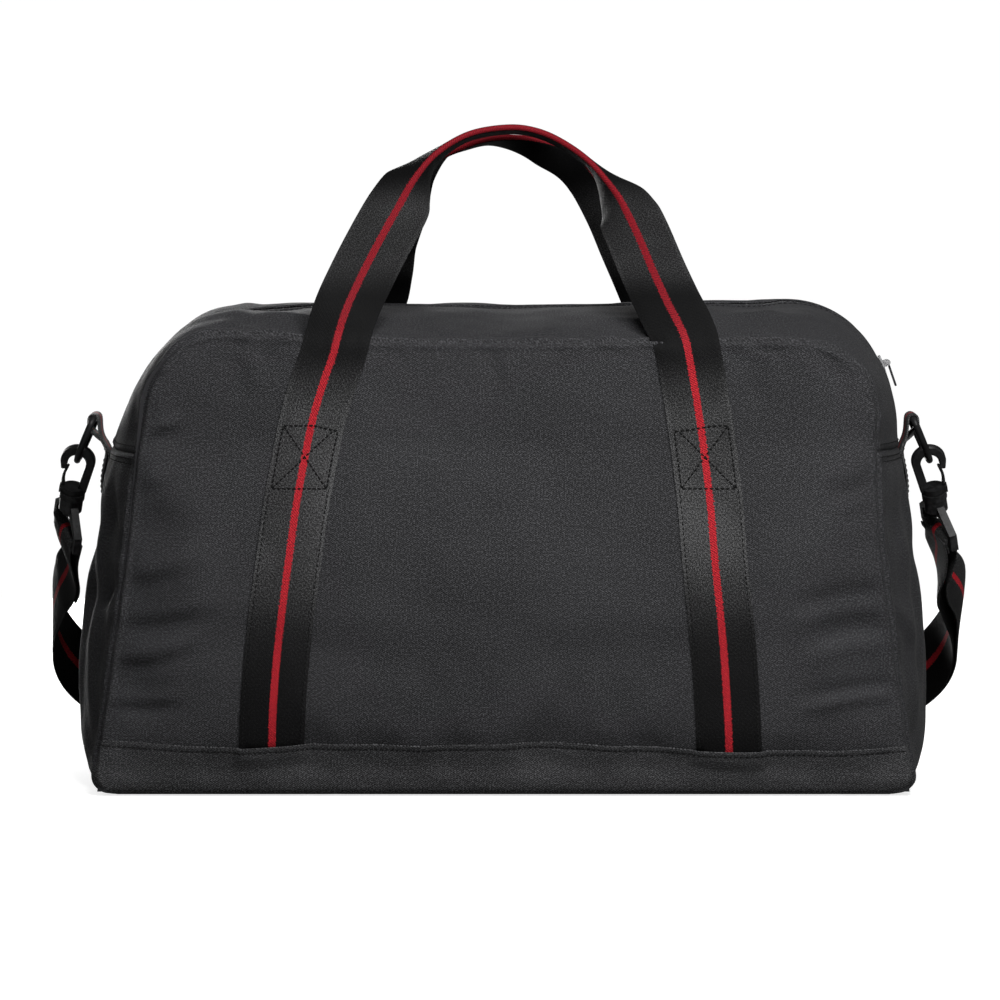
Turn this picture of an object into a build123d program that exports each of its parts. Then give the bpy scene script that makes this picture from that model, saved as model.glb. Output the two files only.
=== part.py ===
from build123d import *
import os
from math import cos, radians, sin

# Weekender bag. Millimetres. +X along the length to the right, -Y to the front, +Z up.
# The origin is the centre of the flat underside.

os.makedirs("parts", exist_ok=True)

# ---- Driving dimensions -------------------------------------------------------------
WEBBING = 38.0             # width of every strap and handle
WEBBING_THICK = 2.0
WALL = 2.0                 # padded polyester with its lining
PANEL = 2.5                # front and rear panels, with their foam
SEAM_Y = 118.0             # front and rear seams, either side of the centre
AIR = 0.3                  # gap between soft pieces that lie on each other
GUSSET_TOP = 200.0         # the zip strips end here and the gussets begin
BAND = 30.0                # height of the base bands
ZIP_HALF = 16.0            # half width of the whole zip, tapes and teeth
TEETH_OUT = 2.3            # teeth rows reach this far from the centre line
TEETH_IN = 0.7             # and leave this half gap between them
FAR = 400.0                # larger than the bag, for cutting boxes

# Sections of the body: half width of the base, the side's widest point, the centre and
# radius of the round shoulder, the top, and the angle where the side meets the shoulder.
SEAM = {"base": 239.5, "side": (227.0, 100.0), "shoulder_x": 172.0, "radius": 42.0,
        "top": 266.0, "join": 6.0}
CROWN = {"base": 248.0, "side": (252.5, 80.0), "shoulder_x": 170.0, "radius": 60.0,
         "top": 286.0, "join": 16.0}

# Handles
PATCH_TOP = 218.0          # top of the boxed X, where the handle leaves the bag
STRAP_FOOT_X = 133.0       # strap centre at the base band
STRAP_MID = (126.0, 118.0)
HANDLE_X = 113.0           # strap centre at the top of the boxed X
HANDLE_TOP = {"front": 392.0, "rear": 383.0}
GRIP_NEAR = 1.5            # the two grips lie this far from the centre line

# Zip slider, parked low on the right shoulder
SLIDER_ANGLE = 19.0
SLIDER_SPREAD = 6.5        # half its length, as an angle round the shoulder
SLIDER_GAP = 0.5
SLIDER_PLATE = 1.3
SLIDER_HALF_WIDTH = 4.2
PIVOT_RISE = 2.6           # pull pivot above the slider's upper plate
PIVOT_RADIUS = 0.7
PULL_LENGTH = 15.0

# D-rings, hinged in the loop of the end strap
RING_X = 245.0
RING_Z = 215.0
RING_RADIUS = 2.0
RING_HALF = 23.5           # half width of the D, to the middle of the bar
RING_CORNER = 4.0
RING_SLANT = 23.0          # how far it leans out of the vertical
LOOP_INNER = RING_RADIUS + AIR

# Swivel snap hooks
HOOK_REACH = 26.3          # from the collar's foot up to the middle of the D-ring's bow
CLIP_LEAN = 10.0           # the hook's head leans this far towards the bag
CLIP_TILT = 26.0           # and its base is drawn this far to the rear
HOOK_THICK = 5.0
STEM_RADIUS = 3.0
STEM_AIR = 0.15
STEM_LENGTH = 12.0
BARREL_RADIUS = 7.0
BARREL_LENGTH = 8.0
BAR_DROP = 23.0            # strap bar below the collar's foot
BAR_RADIUS = 2.2
BAR_HALF = 20.0
FRAME_THICK = 4.6
# Right half of the frame round the strap bar: across, and up from the collar's foot.
FRAME_HALF = ((8.0, -3.0), (24.0, -15.0), (24.0, -25.4), (19.6, -25.4), (19.6, -16.2),
              (6.5, -9.5))
# The hook's outline: outside of the shank and head, the tip, inside of the head.
SHANK_OUT = (-8.0, 6.0)
SHANK_IN = (-2.6, 6.0)
HEAD_OUT = ((-10.8, 24.0), (-0.5, 36.5), (9.8, 24.5))
HEAD_TIP = ((9.8, 24.5), (8.9, 20.0), (5.9, 20.6), (5.4, 24.5))
HEAD_IN = ((5.4, 24.5), (0.0, 30.5), (-5.6, 24.5))
HEAD_CHAMFER = 0.9
CAP_RADIUS = 7.6           # the collar's wide foot, which turns on the barrel
COLLAR_RADIUS = 6.8
COLLAR_STEP = 4.0          # height of each of the collar's two steps
LUG_CENTRE = 6.3           # the collar's lug, where the gate is rooted
LUG_SIZE = (4.0, 5.4)
STEM_HEAD_RADIUS = 4.2
STEM_HEAD = (9.8, 1.4)     # how far below the foot it starts, and its height
GATE_OUTLINE = ((5.6, 9.2), (7.1, 9.2), (5.3, 22.3), (4.1, 22.3))
GATE_ROOT = ((6.35, 9.2), 0.9)
GATE_HALF = 2.2

# Strap adjuster, on the straight run behind the bag
STRAP_Y = 127.0            # middle of the running webbing behind the bag
RUN_Z = 27.0
ADJUSTER_X = 40.0


def section_face(shape, inset=0.0, below=0.0):
    """One cross section of the body, as a flat face: X across and Y up."""
    half = shape["base"] - inset
    foot = inset - below
    side_x, side_z = shape["side"]
    radius = shape["radius"] - inset
    centre_z = shape["top"] - shape["radius"]
    turn = 90 - shape["join"]
    with BuildSketch() as face:
        with BuildLine():
            base = Line((-half, foot), (half, foot))
            right = CenterArc((shape["shoulder_x"], centre_z), radius, shape["join"], turn)
            left = CenterArc((-shape["shoulder_x"], centre_z), radius, 90, turn)
            ThreePointArc(base @ 1, (side_x - inset, side_z), right @ 0)
            Line(right @ 1, left @ 0)
            ThreePointArc(left @ 1, (inset - side_x, side_z), base @ 0)
        make_face()
    return face.sketch


def body_solid(inset, below=0.0):
    """The whole body's volume, bulged out between its two seams."""
    with BuildPart() as solid:
        for forward, shape in ((SEAM_Y, SEAM), (0, CROWN), (-SEAM_Y, SEAM)):
            with BuildSketch(Plane.XZ.offset(forward)):
                add(section_face(shape, inset, below))
        loft()
    return solid.part


def cut_out(shell, name, x_range, y_range, z_range):
    """The piece of the shell that lies inside one box."""
    size = [high - low for low, high in (x_range, y_range, z_range)]
    middle = [(high + low) / 2 for low, high in (x_range, y_range, z_range)]
    with BuildPart() as piece:
        add(shell)
        with Locations(tuple(middle)):
            Box(*size, mode=Mode.INTERSECT)
    piece.part.label = name
    export_step(piece.part, f"parts/{name}.step")


# ---- Body shell: gussets, top strips, zip tapes and teeth ---------------------------
SOLE_CUT = 0.5             # the volume reaches below the underside, which is then cut flat
with BuildPart() as shell:
    add(body_solid(0.0, SOLE_CUT))
    add(body_solid(WALL), mode=Mode.SUBTRACT)

WHOLE = (-FAR, FAR)
ABOVE = (GUSSET_TOP, FAR)
cut_out(shell.part, "bottom_panel", WHOLE, WHOLE, (0, WALL))
cut_out(shell.part, "left_gusset", (-FAR, 0), WHOLE, (WALL, GUSSET_TOP))
cut_out(shell.part, "right_gusset", (0, FAR), WHOLE, (WALL, GUSSET_TOP))
for side, name in ((-1, "front"), (1, "rear")):
    strip = sorted((side * ZIP_HALF, side * FAR))
    tape = sorted((side * TEETH_OUT, side * ZIP_HALF))
    teeth = sorted((side * TEETH_IN, side * TEETH_OUT))
    cut_out(shell.part, f"{name}_top_strip", WHOLE, strip, ABOVE)
    cut_out(shell.part, f"{name}_zip_tape", WHOLE, tape, ABOVE)
    cut_out(shell.part, f"{name}_zip_teeth", WHOLE, teeth, ABOVE)

# ---- Front and rear panels, their base bands and seam bindings ----------------------
BINDING_THICK = 2.0
BINDING_WIDTH = 8.0
BINDING_GAP = 0.2
for side, name in ((-1, "front"), (1, "rear")):
    seam_plane = Plane((0, side * SEAM_Y, 0), x_dir=(1, 0, 0), z_dir=(0, -1, 0))
    with BuildPart() as plate:
        with BuildSketch(seam_plane):
            add(section_face(SEAM))
        extrude(amount=-side * PANEL)
    cut_out(plate.part, f"{name}_base_band", WHOLE, WHOLE, (0, BAND))
    cut_out(plate.part, f"{name}_panel", WHOLE, WHOLE, (BAND, FAR))
    with BuildPart() as binding:
        with BuildSketch(seam_plane.offset(side * BINDING_GAP)):
            add(section_face(SEAM, WALL + BINDING_GAP))
            add(section_face(SEAM, WALL + BINDING_GAP + BINDING_THICK), mode=Mode.SUBTRACT)
        extrude(amount=side * BINDING_WIDTH)
    binding.part.label = f"{name}_seam_binding"
    export_step(binding.part, f"parts/{name}_seam_binding.step")

# ---- Base board, the stiffener inside -----------------------------------------------
BOARD_THICK = 3.0
BOARD_SIZE = (456.0, 212.0)
BOARD_CORNER = 12.0
with BuildPart() as base_board:
    with BuildSketch(Plane.XY.offset(WALL)):
        RectangleRounded(*BOARD_SIZE, BOARD_CORNER)
    extrude(amount=BOARD_THICK)
base_board.part.label = "base_board"
export_step(base_board.part, "parts/base_board.step")

# ---- Stitched straps on the panels --------------------------------------------------
face_y = SEAM_Y + PANEL + AIR
for depth, end in ((-1, "front"), (1, "rear")):
    for across, hand in ((-1, "left"), (1, "right")):
        stitched = f"{end}_strap_{hand}"
        with BuildPart() as strap:
            with BuildSketch(Plane.XZ.offset(-depth * face_y)):
                with BuildLine():
                    outer = ThreePointArc(
                        (across * (STRAP_FOOT_X + WEBBING / 2), BAND),
                        (across * (STRAP_MID[0] + WEBBING / 2), STRAP_MID[1]),
                        (across * (HANDLE_X + WEBBING / 2), PATCH_TOP))
                    inner = ThreePointArc(
                        (across * (HANDLE_X - WEBBING / 2), PATCH_TOP),
                        (across * (STRAP_MID[0] - WEBBING / 2), STRAP_MID[1]),
                        (across * (STRAP_FOOT_X - WEBBING / 2), BAND))
                    Line(outer @ 1, inner @ 0)
                    Line(inner @ 1, outer @ 0)
                make_face()
            extrude(amount=WEBBING_THICK, dir=(0, depth, 0))
        strap.part.label = stitched
        export_step(strap.part, f"parts/{stitched}.step")

# ---- Handles: flat webbing legs that fold in half into a grip ------------------------
# Half of one handle, from the patch to the middle of the grip: distance from the centre
# line, how far along the lean from the panel to the grip, height above the patch as a
# share of the whole, the turn of the section in degrees, its width and its thickness.
GRIP_WIDTH = WEBBING / 2
GRIP_THICK = 2.2 * WEBBING_THICK
HALF_HANDLE = (
    (HANDLE_X, 0.00, 0.002, 0, WEBBING, WEBBING_THICK),
    (106.0, 0.00, 0.19, 0, WEBBING, WEBBING_THICK),
    (101.5, 0.00, 0.33, 0, WEBBING, WEBBING_THICK),
    (98.0, 0.07, 0.41, 0, WEBBING, WEBBING_THICK),
    (91.0, 0.23, 0.49, 0, WEBBING, WEBBING_THICK),
    (80.0, 0.45, 0.64, 15, 0.90 * WEBBING, 1.2 * WEBBING_THICK),
    (68.0, 0.66, 0.77, 45, 0.70 * WEBBING, 1.7 * WEBBING_THICK),
    (54.0, 0.84, 0.875, 75, GRIP_WIDTH, GRIP_THICK),
    (38.0, 0.96, 0.95, 90, GRIP_WIDTH, GRIP_THICK),
    (20.0, 1.00, 0.988, 90, GRIP_WIDTH, GRIP_THICK),
    (0.0, 1.00, 1.00, 90, GRIP_WIDTH, GRIP_THICK),
)
for end, depth in (("front", -1), ("rear", 1)):
    panel_y = face_y + WEBBING_THICK / 2
    grip_y = GRIP_NEAR + GRIP_WIDTH / 2
    rise = HANDLE_TOP[end] - GRIP_THICK / 2 - PATCH_TOP
    stations = []
    for hand, half in ((-1, HALF_HANDLE), (1, HALF_HANDLE[-2::-1])):
        for x, lean, up, turn, width, thick in half:
            y = depth * (panel_y + (grip_y - panel_y) * lean)
            stations.append((Vector(hand * x, y, PATCH_TOP + rise * up), turn, width, thick))
    last = len(stations) - 1
    with BuildPart() as handle:
        for i, (point, turn, width, thick) in enumerate(stations):
            along = (stations[min(i + 1, last)][0] - stations[max(i - 1, 0)][0]).normalized()
            if i in (0, last):
                along = Vector(0, 0, 1 if i == 0 else -1)
            flat = Vector(0, 1, 0).cross(along).normalized()
            edge_on = flat.cross(along)
            across = flat * cos(radians(turn)) + edge_on * sin(radians(turn))
            with BuildSketch(Plane(origin=point, x_dir=across, z_dir=along)):
                Rectangle(width, thick)
        loft(ruled=True)
    handle.part.label = f"{end}_handle"
    export_step(handle.part, f"parts/{end}_handle.step")

# ---- End straps: webbing down each gusset, looped round a D-ring ---------------------
STRAP_TOP = 203.0
STRAP_LOW = 12.0
NECK = (5.0, 10.0, 8.0)    # where the loop's neck meets the strap: in from the ring, and down
LOOP_OUTER = LOOP_INNER + WEBBING_THICK
LOOP_HALF = WEBBING / 2
for side, hand in ((-1, "left"), (1, "right")):
    with BuildPart() as end_strap:
        with BuildSketch(Plane.XZ):
            add(section_face(CROWN, -AIR - WEBBING_THICK))
            with Locations((side * FAR / 2, (STRAP_TOP + STRAP_LOW) / 2)):
                Rectangle(FAR, STRAP_TOP - STRAP_LOW, mode=Mode.INTERSECT)
            with BuildLine():
                Polyline((side * (RING_X - LOOP_OUTER), RING_Z),
                         (side * (RING_X + LOOP_OUTER), RING_Z),
                         (side * (RING_X - NECK[0]), STRAP_TOP - NECK[2]),
                         (side * (RING_X - NECK[1]), STRAP_TOP - NECK[2]), close=True)
            make_face()
            with Locations((side * RING_X, RING_Z)):
                Circle(LOOP_OUTER)
                Circle(LOOP_INNER, mode=Mode.SUBTRACT)
            add(section_face(CROWN, -AIR), mode=Mode.SUBTRACT)
        extrude(amount=LOOP_HALF, both=True)
    end_strap.part.label = f"{hand}_end_strap"
    export_step(end_strap.part, f"parts/{hand}_end_strap.step")

# ---- Zip slider and pull, on a plane whose X points out of the shoulder ---------------
angle = radians(SLIDER_ANGLE)
shoulder = Vector(CROWN["shoulder_x"], 0, CROWN["top"] - CROWN["radius"])
slider_plane = Plane(origin=shoulder, x_dir=(cos(angle), 0, sin(angle)), z_dir=(0, -1, 0))


def plate_face(low, high):
    """A plate's section between two radii round the shoulder's centre."""
    with BuildSketch() as face:
        with BuildLine():
            outer = CenterArc((0, 0), high, -SLIDER_SPREAD, 2 * SLIDER_SPREAD)
            inner = CenterArc((0, 0), low, SLIDER_SPREAD, -2 * SLIDER_SPREAD)
            Line(outer @ 1, inner @ 0)
            Line(inner @ 1, outer @ 0)
        make_face()
    return face.sketch


top_low = CROWN["radius"] + SLIDER_GAP
top_high = top_low + SLIDER_PLATE
under_high = CROWN["radius"] - WALL - SLIDER_GAP
pivot = (top_high + PIVOT_RISE, 1.5)
LUG_THICK = 0.9
LUG_OUT = 3.2
LUG_LONG = 4.0
LUG_EYE = 1.5
POST_HALF = TEETH_IN - AIR
POST_AT = 2.0              # the wedge between the two plates, ahead of the middle
POST_LONG = 5.0
with BuildPart() as zip_slider:
    with BuildSketch(slider_plane):
        add(plate_face(top_low, top_high))
        add(plate_face(under_high - SLIDER_PLATE, under_high))
    extrude(amount=SLIDER_HALF_WIDTH, both=True)
    with BuildSketch(slider_plane):
        with Locations(((under_high + top_low) / 2, POST_AT)):
            Rectangle(top_low - under_high + SLIDER_PLATE, POST_LONG)
    extrude(amount=POST_HALF, both=True)
    for lug_side in (-1, 1):
        with BuildSketch(slider_plane.offset(lug_side * (LUG_OUT - LUG_THICK / 2))):
            with Locations((pivot[0] - PIVOT_RISE / 2, pivot[1])):
                Rectangle(PIVOT_RISE + PIVOT_RADIUS, LUG_LONG)
            with Locations(pivot):
                Circle(LUG_EYE)
        extrude(amount=LUG_THICK / 2, both=True)
    with BuildSketch(slider_plane):
        with Locations(pivot):
            Circle(PIVOT_RADIUS)
    extrude(amount=LUG_OUT - LUG_THICK / 2, both=True)
zip_slider.part.label = "zip_slider"
export_step(zip_slider.part, "parts/zip_slider.step")

PULL_HALF = LUG_OUT - LUG_THICK - AIR
PULL_THICK = 1.2
PULL_EYE = 1.7
PULL_OUT = 0.2
PULL_ROUND = 0.5
PULL_PLAY = 0.1
with BuildPart() as zip_pull:
    with BuildSketch(slider_plane):
        with Locations(pivot):
            Circle(PULL_EYE)
        with Locations((pivot[0] + PULL_OUT, pivot[1] - PULL_LENGTH / 2)):
            RectangleRounded(PULL_THICK, PULL_LENGTH, PULL_ROUND)
        with Locations(pivot):
            Circle(PIVOT_RADIUS + PULL_PLAY, mode=Mode.SUBTRACT)
    extrude(amount=PULL_HALF, both=True)
zip_pull.part.label = "zip_pull"
export_step(zip_pull.part, "parts/zip_pull.step")

# ---- D-rings and swivel snap hooks ----------------------------------------------------
slant = radians(RING_SLANT)
bow_drop = RING_CORNER + RING_HALF
BASE_SWIVEL = {"left": 22.0, "right": -15.0}
clips = {}
for side, hand in ((-1, "left"), (1, "right")):
    ring_plane = Plane(origin=(side * RING_X, 0, RING_Z), x_dir=(0, 1, 0),
                       z_dir=(cos(slant), 0, side * sin(slant)))
    with BuildPart() as ring:
        with BuildLine(ring_plane) as path:
            straight = RING_HALF - RING_CORNER
            Line((0, 0), (straight, 0))
            RadiusArc((straight, 0), (RING_HALF, -RING_CORNER), RING_CORNER)
            ThreePointArc((RING_HALF, -RING_CORNER), (0, -bow_drop), (-RING_HALF, -RING_CORNER))
            RadiusArc((-RING_HALF, -RING_CORNER), (-straight, 0), RING_CORNER)
            Line((-straight, 0), (0, 0))
        with BuildSketch(Plane(origin=path.line @ 0, z_dir=path.line % 0)):
            Circle(RING_RADIUS)
        sweep()
    ring.part.label = f"{hand}_d_ring"
    export_step(ring.part, f"parts/{hand}_d_ring.step")

    lean, tilt = radians(CLIP_LEAN), radians(CLIP_TILT)
    bow = Vector(side * (RING_X + bow_drop * sin(slant)), 0, RING_Z - bow_drop * cos(slant))
    axis = Vector(-side * sin(lean) * cos(tilt), -sin(tilt), cos(lean) * cos(tilt))
    foot = bow - axis * HOOK_REACH
    normal = (Vector(0, 1, 0) - axis * axis.Y).normalized()
    outward = normal.cross(axis) * side
    swivel = radians(BASE_SWIVEL[hand])
    bar = normal * cos(swivel) + outward * sin(swivel)
    clips[hand] = (foot, axis, outward, normal, bar)
    hook_plane = Plane(origin=foot, x_dir=outward, z_dir=outward.cross(axis))
    base_plane = Plane(origin=foot, x_dir=bar, z_dir=bar.cross(axis))
    round_plane = Plane(origin=foot, x_dir=outward, z_dir=axis)

    # The swivel base: a barrel round the hook's stem, and a frame with the strap bar.
    with BuildPart() as base:
        with BuildSketch(base_plane):
            with BuildLine():
                Polyline(*FRAME_HALF, *[(-x, z) for x, z in reversed(FRAME_HALF)], close=True)
            make_face()
        extrude(amount=FRAME_THICK / 2, both=True)
        with BuildSketch(round_plane.offset(-BARREL_LENGTH)):
            Circle(BARREL_RADIUS)
        extrude(amount=BARREL_LENGTH)
        with BuildSketch(Plane(origin=foot - axis * BAR_DROP, x_dir=outward, z_dir=bar)):
            Circle(BAR_RADIUS)
        extrude(amount=BAR_HALF, both=True)
        with BuildSketch(round_plane):
            Circle(STEM_RADIUS + STEM_AIR)
        extrude(amount=STEM_LENGTH, both=True, mode=Mode.SUBTRACT)
    base.part.label = f"{hand}_swivel_base"
    export_step(base.part, f"parts/{hand}_swivel_base.step")

    # The hook: a cap and stem that turn in the barrel, a shank and a wide rounded head.
    with BuildPart() as hook:
        with BuildSketch(hook_plane):
            with BuildLine():
                Line(SHANK_IN, SHANK_OUT)
                Line(SHANK_OUT, HEAD_OUT[0])
                ThreePointArc(*HEAD_OUT)
                Polyline(*HEAD_TIP)
                ThreePointArc(*HEAD_IN)
                Line(HEAD_IN[-1], SHANK_IN)
            make_face()
        extrude(amount=HOOK_THICK / 2, both=True)
        chamfer(hook.edges().filter_by(GeomType.CIRCLE), length=HEAD_CHAMFER)
        with BuildSketch(round_plane.offset(AIR)):
            Circle(CAP_RADIUS)
        extrude(amount=COLLAR_STEP)
        with BuildSketch(round_plane.offset(COLLAR_STEP)):
            Circle(COLLAR_RADIUS)
            with Locations((LUG_CENTRE, 0)):
                Rectangle(*LUG_SIZE)
        extrude(amount=COLLAR_STEP)
        with BuildSketch(round_plane.offset(1.0)):
            Circle(STEM_RADIUS)
        extrude(amount=-STEM_LENGTH + 1.0)
        with BuildSketch(round_plane.offset(-STEM_HEAD[0])):
            Circle(STEM_HEAD_RADIUS)
        extrude(amount=-STEM_HEAD[1])
    hook.part.label = f"{hand}_hook"
    export_step(hook.part, f"parts/{hand}_hook.step")

    # The gate: a springy tongue that closes the hook's mouth from inside.
    with BuildPart() as gate:
        with BuildSketch(hook_plane):
            with BuildLine():
                Polyline(*GATE_OUTLINE, close=True)
            make_face()
            with Locations(GATE_ROOT[0]):
                Circle(GATE_ROOT[1])
        extrude(amount=GATE_HALF, both=True)
    gate.part.label = f"{hand}_gate"
    export_step(gate.part, f"parts/{hand}_gate.step")

    # The strap's looped end round the bar.
    with BuildPart() as loop:
        with BuildSketch(Plane(origin=foot - axis * BAR_DROP, x_dir=outward, z_dir=bar)):
            Circle(BAR_RADIUS + AIR + WEBBING_THICK)
            Circle(BAR_RADIUS + AIR, mode=Mode.SUBTRACT)
        extrude(amount=LOOP_HALF, both=True)
    loop.part.label = f"{hand}_strap_end"
    export_step(loop.part, f"parts/{hand}_strap_end.step")

# ---- Shoulder strap: down from each clip, round the rear corner, along behind ---------
# Middle of the webbing on one side: out from the centre, towards the rear, and up.
SIDE_ROUTE = ((263.0, 36.0, 124.0), (270.0, 52.0, 110.0), (275.0, 72.0, 94.0),
              (274.0, 90.0, 78.0), (267.0, 106.0, 62.0), (255.0, 118.5, 49.0),
              (238.0, 126.0, 38.0), (216.0, 127.0, 30.0), (195.0, STRAP_Y, RUN_Z))
doubled = 2 * WEBBING_THICK + 0.2
SPLICE = 1.9               # the second layer starts this far right of the adjuster's middle


def strap_start(hand, below):
    """A point below the strap bar, on the line of the clip."""
    foot, axis, _, _, _ = clips[hand]
    return foot - axis * (BAR_DROP + below)


BAR_CLEAR = BAR_RADIUS + AIR + WEBBING_THICK + 1.0
route = [strap_start("left", BAR_CLEAR)]
route += [Vector(-x, y, z) for x, y, z in SIDE_ROUTE]
joined = len(route)
route += [Vector(ADJUSTER_X + SPLICE, STRAP_Y, RUN_Z)]
route += [Vector(ADJUSTER_X + SPLICE + AIR, STRAP_Y, RUN_Z)]
route += [Vector(x, y, z) for x, y, z in reversed(SIDE_ROUTE)]
route += [strap_start("right", BAR_CLEAR)]
end = len(route) - 1
with BuildPart() as shoulder_strap:
    for i, point in enumerate(route):
        along = (route[min(i + 1, end)] - route[max(i - 1, 0)]).normalized()
        across = (Vector(0, 0, 1) - along * along.Z).normalized()
        if i in (0, end):
            hand = "left" if i == 0 else "right"
            along = clips[hand][1] * (-1 if i == 0 else 1)
            across = clips[hand][4]
        thick = doubled if i > joined else WEBBING_THICK
        out = across.cross(along)
        middle = point + out * (thick - WEBBING_THICK) / 2
        with BuildSketch(Plane(origin=middle, x_dir=across, z_dir=along)):
            Rectangle(WEBBING, thick)
    loft(ruled=True)
shoulder_strap.part.label = "shoulder_strap"
export_step(shoulder_strap.part, "parts/shoulder_strap.step")

# ---- Strap adjuster: two rails, two outer bars and a middle bar ----------------------
RAIL = 4.4
RAIL_GAP = 0.6
BAR_WIDE = 3.0
BAR_THICK = 2.5
ADJUSTER_LONG = 23.0
BAR_OUT = 10.0             # outer bars, either side of the middle bar
layer_top = STRAP_Y + WEBBING_THICK / 2 + AIR
outer_low = STRAP_Y - WEBBING_THICK / 2 + doubled + AIR + 0.1
with BuildPart() as strap_adjuster:
    for edge in (-1, 1):
        middle_z = RUN_Z + edge * (WEBBING / 2 + RAIL_GAP + RAIL / 2)
        with Locations((ADJUSTER_X, (layer_top + outer_low + BAR_THICK) / 2, middle_z)):
            Box(ADJUSTER_LONG, outer_low + BAR_THICK - layer_top, RAIL)
    for x, low in ((-BAR_OUT, outer_low), (0.0, layer_top), (BAR_OUT, outer_low)):
        with Locations((ADJUSTER_X + x, low + BAR_THICK / 2, RUN_Z)):
            Box(BAR_WIDE, BAR_THICK, WEBBING + RAIL)
    fillet(strap_adjuster.edges().group_by(SortBy.LENGTH)[-1], radius=0.6)
strap_adjuster.part.label = "strap_adjuster"
export_step(strap_adjuster.part, "parts/strap_adjuster.step")
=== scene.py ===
import math

import bpy
import numpy as np
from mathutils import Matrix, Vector
from mathutils.bvhtree import BVHTree


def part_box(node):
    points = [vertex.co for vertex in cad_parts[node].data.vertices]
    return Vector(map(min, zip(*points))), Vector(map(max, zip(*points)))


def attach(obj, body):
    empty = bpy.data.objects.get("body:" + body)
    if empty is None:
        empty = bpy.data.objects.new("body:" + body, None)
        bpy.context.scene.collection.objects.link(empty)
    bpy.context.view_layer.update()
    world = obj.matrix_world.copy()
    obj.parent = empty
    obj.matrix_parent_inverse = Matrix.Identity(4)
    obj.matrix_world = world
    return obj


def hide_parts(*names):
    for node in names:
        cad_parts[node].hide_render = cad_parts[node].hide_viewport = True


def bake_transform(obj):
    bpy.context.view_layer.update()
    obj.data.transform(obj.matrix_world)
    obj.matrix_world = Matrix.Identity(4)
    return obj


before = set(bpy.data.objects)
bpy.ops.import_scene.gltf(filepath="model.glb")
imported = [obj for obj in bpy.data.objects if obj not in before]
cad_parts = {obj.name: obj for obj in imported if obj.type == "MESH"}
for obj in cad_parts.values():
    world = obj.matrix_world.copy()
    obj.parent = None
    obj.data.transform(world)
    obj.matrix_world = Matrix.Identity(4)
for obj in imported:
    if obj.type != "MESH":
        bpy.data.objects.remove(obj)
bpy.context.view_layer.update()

# Weekender bag: black twill body, webbing straps with a red stripe. Metres, in the CAD's
# frame: +X to the right, -Y to the front, +Z up, origin in the middle of the underside.

MM = 0.001
rng = np.random.default_rng(11)

# ---- Driving sizes ------------------------------------------------------------------
SEAM_Y = -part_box("front_panel")[1].y  # front and rear seams, either side of the centre
BAND_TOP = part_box("front_base_band")[1].z
GUSSET_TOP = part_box("left_gusset")[1].z
PATCH_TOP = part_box("front_strap_left")[1].z
WEB_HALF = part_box("left_end_strap")[1].y  # half the webbing's width
WEB_THICK = 1.6 * MM
STRIPE = 4.2 * MM
PANEL_OUT = 2.5 * MM  # the panels' faces stand this far out of the seams
CLOTH = 1.3 * MM
ROLL = 12 * MM  # round edge where the sides turn under
FRONT_ROLL = 7 * MM  # and where the front and rear turn under
THREAD = 0.3 * MM
RIM_ANGLE = math.radians(55)  # edges sharper than this are shaded as edges

# Outlines at the seams and at the middle: half width at the base, widest point of the
# side, shoulder centre, shoulder radius, top, and the angle where the shoulder begins.
SEAM = {"base": 0.2395, "side": (0.227, 0.100), "shoulder": 0.172, "radius": 0.042,
        "top": 0.266, "join": 6}
CROWN = {"base": 0.2465, "side": (0.2490, 0.080), "shoulder": 0.170, "radius": 0.060,
         "top": 0.286, "join": 16}

# The coarse grid that the cloth simulation bends: rows to the gusset's top, rows in all,
# columns across the panels, and steps from the front seam to the rear seam.
LOW_ROWS, ROWS, COLUMNS, DEPTH = 28, 42, 60, 34

BAG_CENTRE = np.array((0, 0, 0.12))  # surfaces of the bag face away from it
ENDS = ((-1, "front"), (1, "rear"))
HANDS = ((-1, "left"), (1, "right"))


# ---- Small helpers ------------------------------------------------------------------
def unit(v):
    """Vectors scaled to length one."""
    return v / np.maximum(np.linalg.norm(v, axis=-1, keepdims=True), 1e-12)


def arc_through(a, b, c, steps):
    """Points on the circle through three points of a plane."""
    (ax, ay), (bx, by), (cx, cy) = a, b, c
    d = 2 * (ax * (by - cy) + bx * (cy - ay) + cx * (ay - by))
    sa, sb, sc = ax * ax + ay * ay, bx * bx + by * by, cx * cx + cy * cy
    ux = (sa * (by - cy) + sb * (cy - ay) + sc * (ay - by)) / d
    uy = (sa * (cx - bx) + sb * (ax - cx) + sc * (bx - ax)) / d
    start, end = math.atan2(ay - uy, ax - ux), math.atan2(cy - uy, cx - ux)
    if end - start > math.pi:
        end -= 2 * math.pi
    if start - end > math.pi:
        end += 2 * math.pi
    t = np.linspace(start, end, steps + 1)
    r = math.hypot(ax - ux, ay - uy)
    return np.stack([ux + r * np.cos(t), uy + r * np.sin(t)], axis=1)


def lengths(points):
    """Distance along a polyline at each of its points, by its first three numbers."""
    steps = np.linalg.norm(np.diff(points[:, :3], axis=0), axis=1)
    return np.concatenate([[0.0], np.cumsum(steps)])


def read_along(t, s, values):
    """Rows of values that belong to the distances s, read at the distances t."""
    return np.stack([np.interp(t, s, column) for column in values.T], axis=1)


def resample(points, count):
    """count evenly spaced points along a polyline."""
    s = lengths(points)
    return read_along(np.linspace(0, s[-1], count), s, points)


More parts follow.
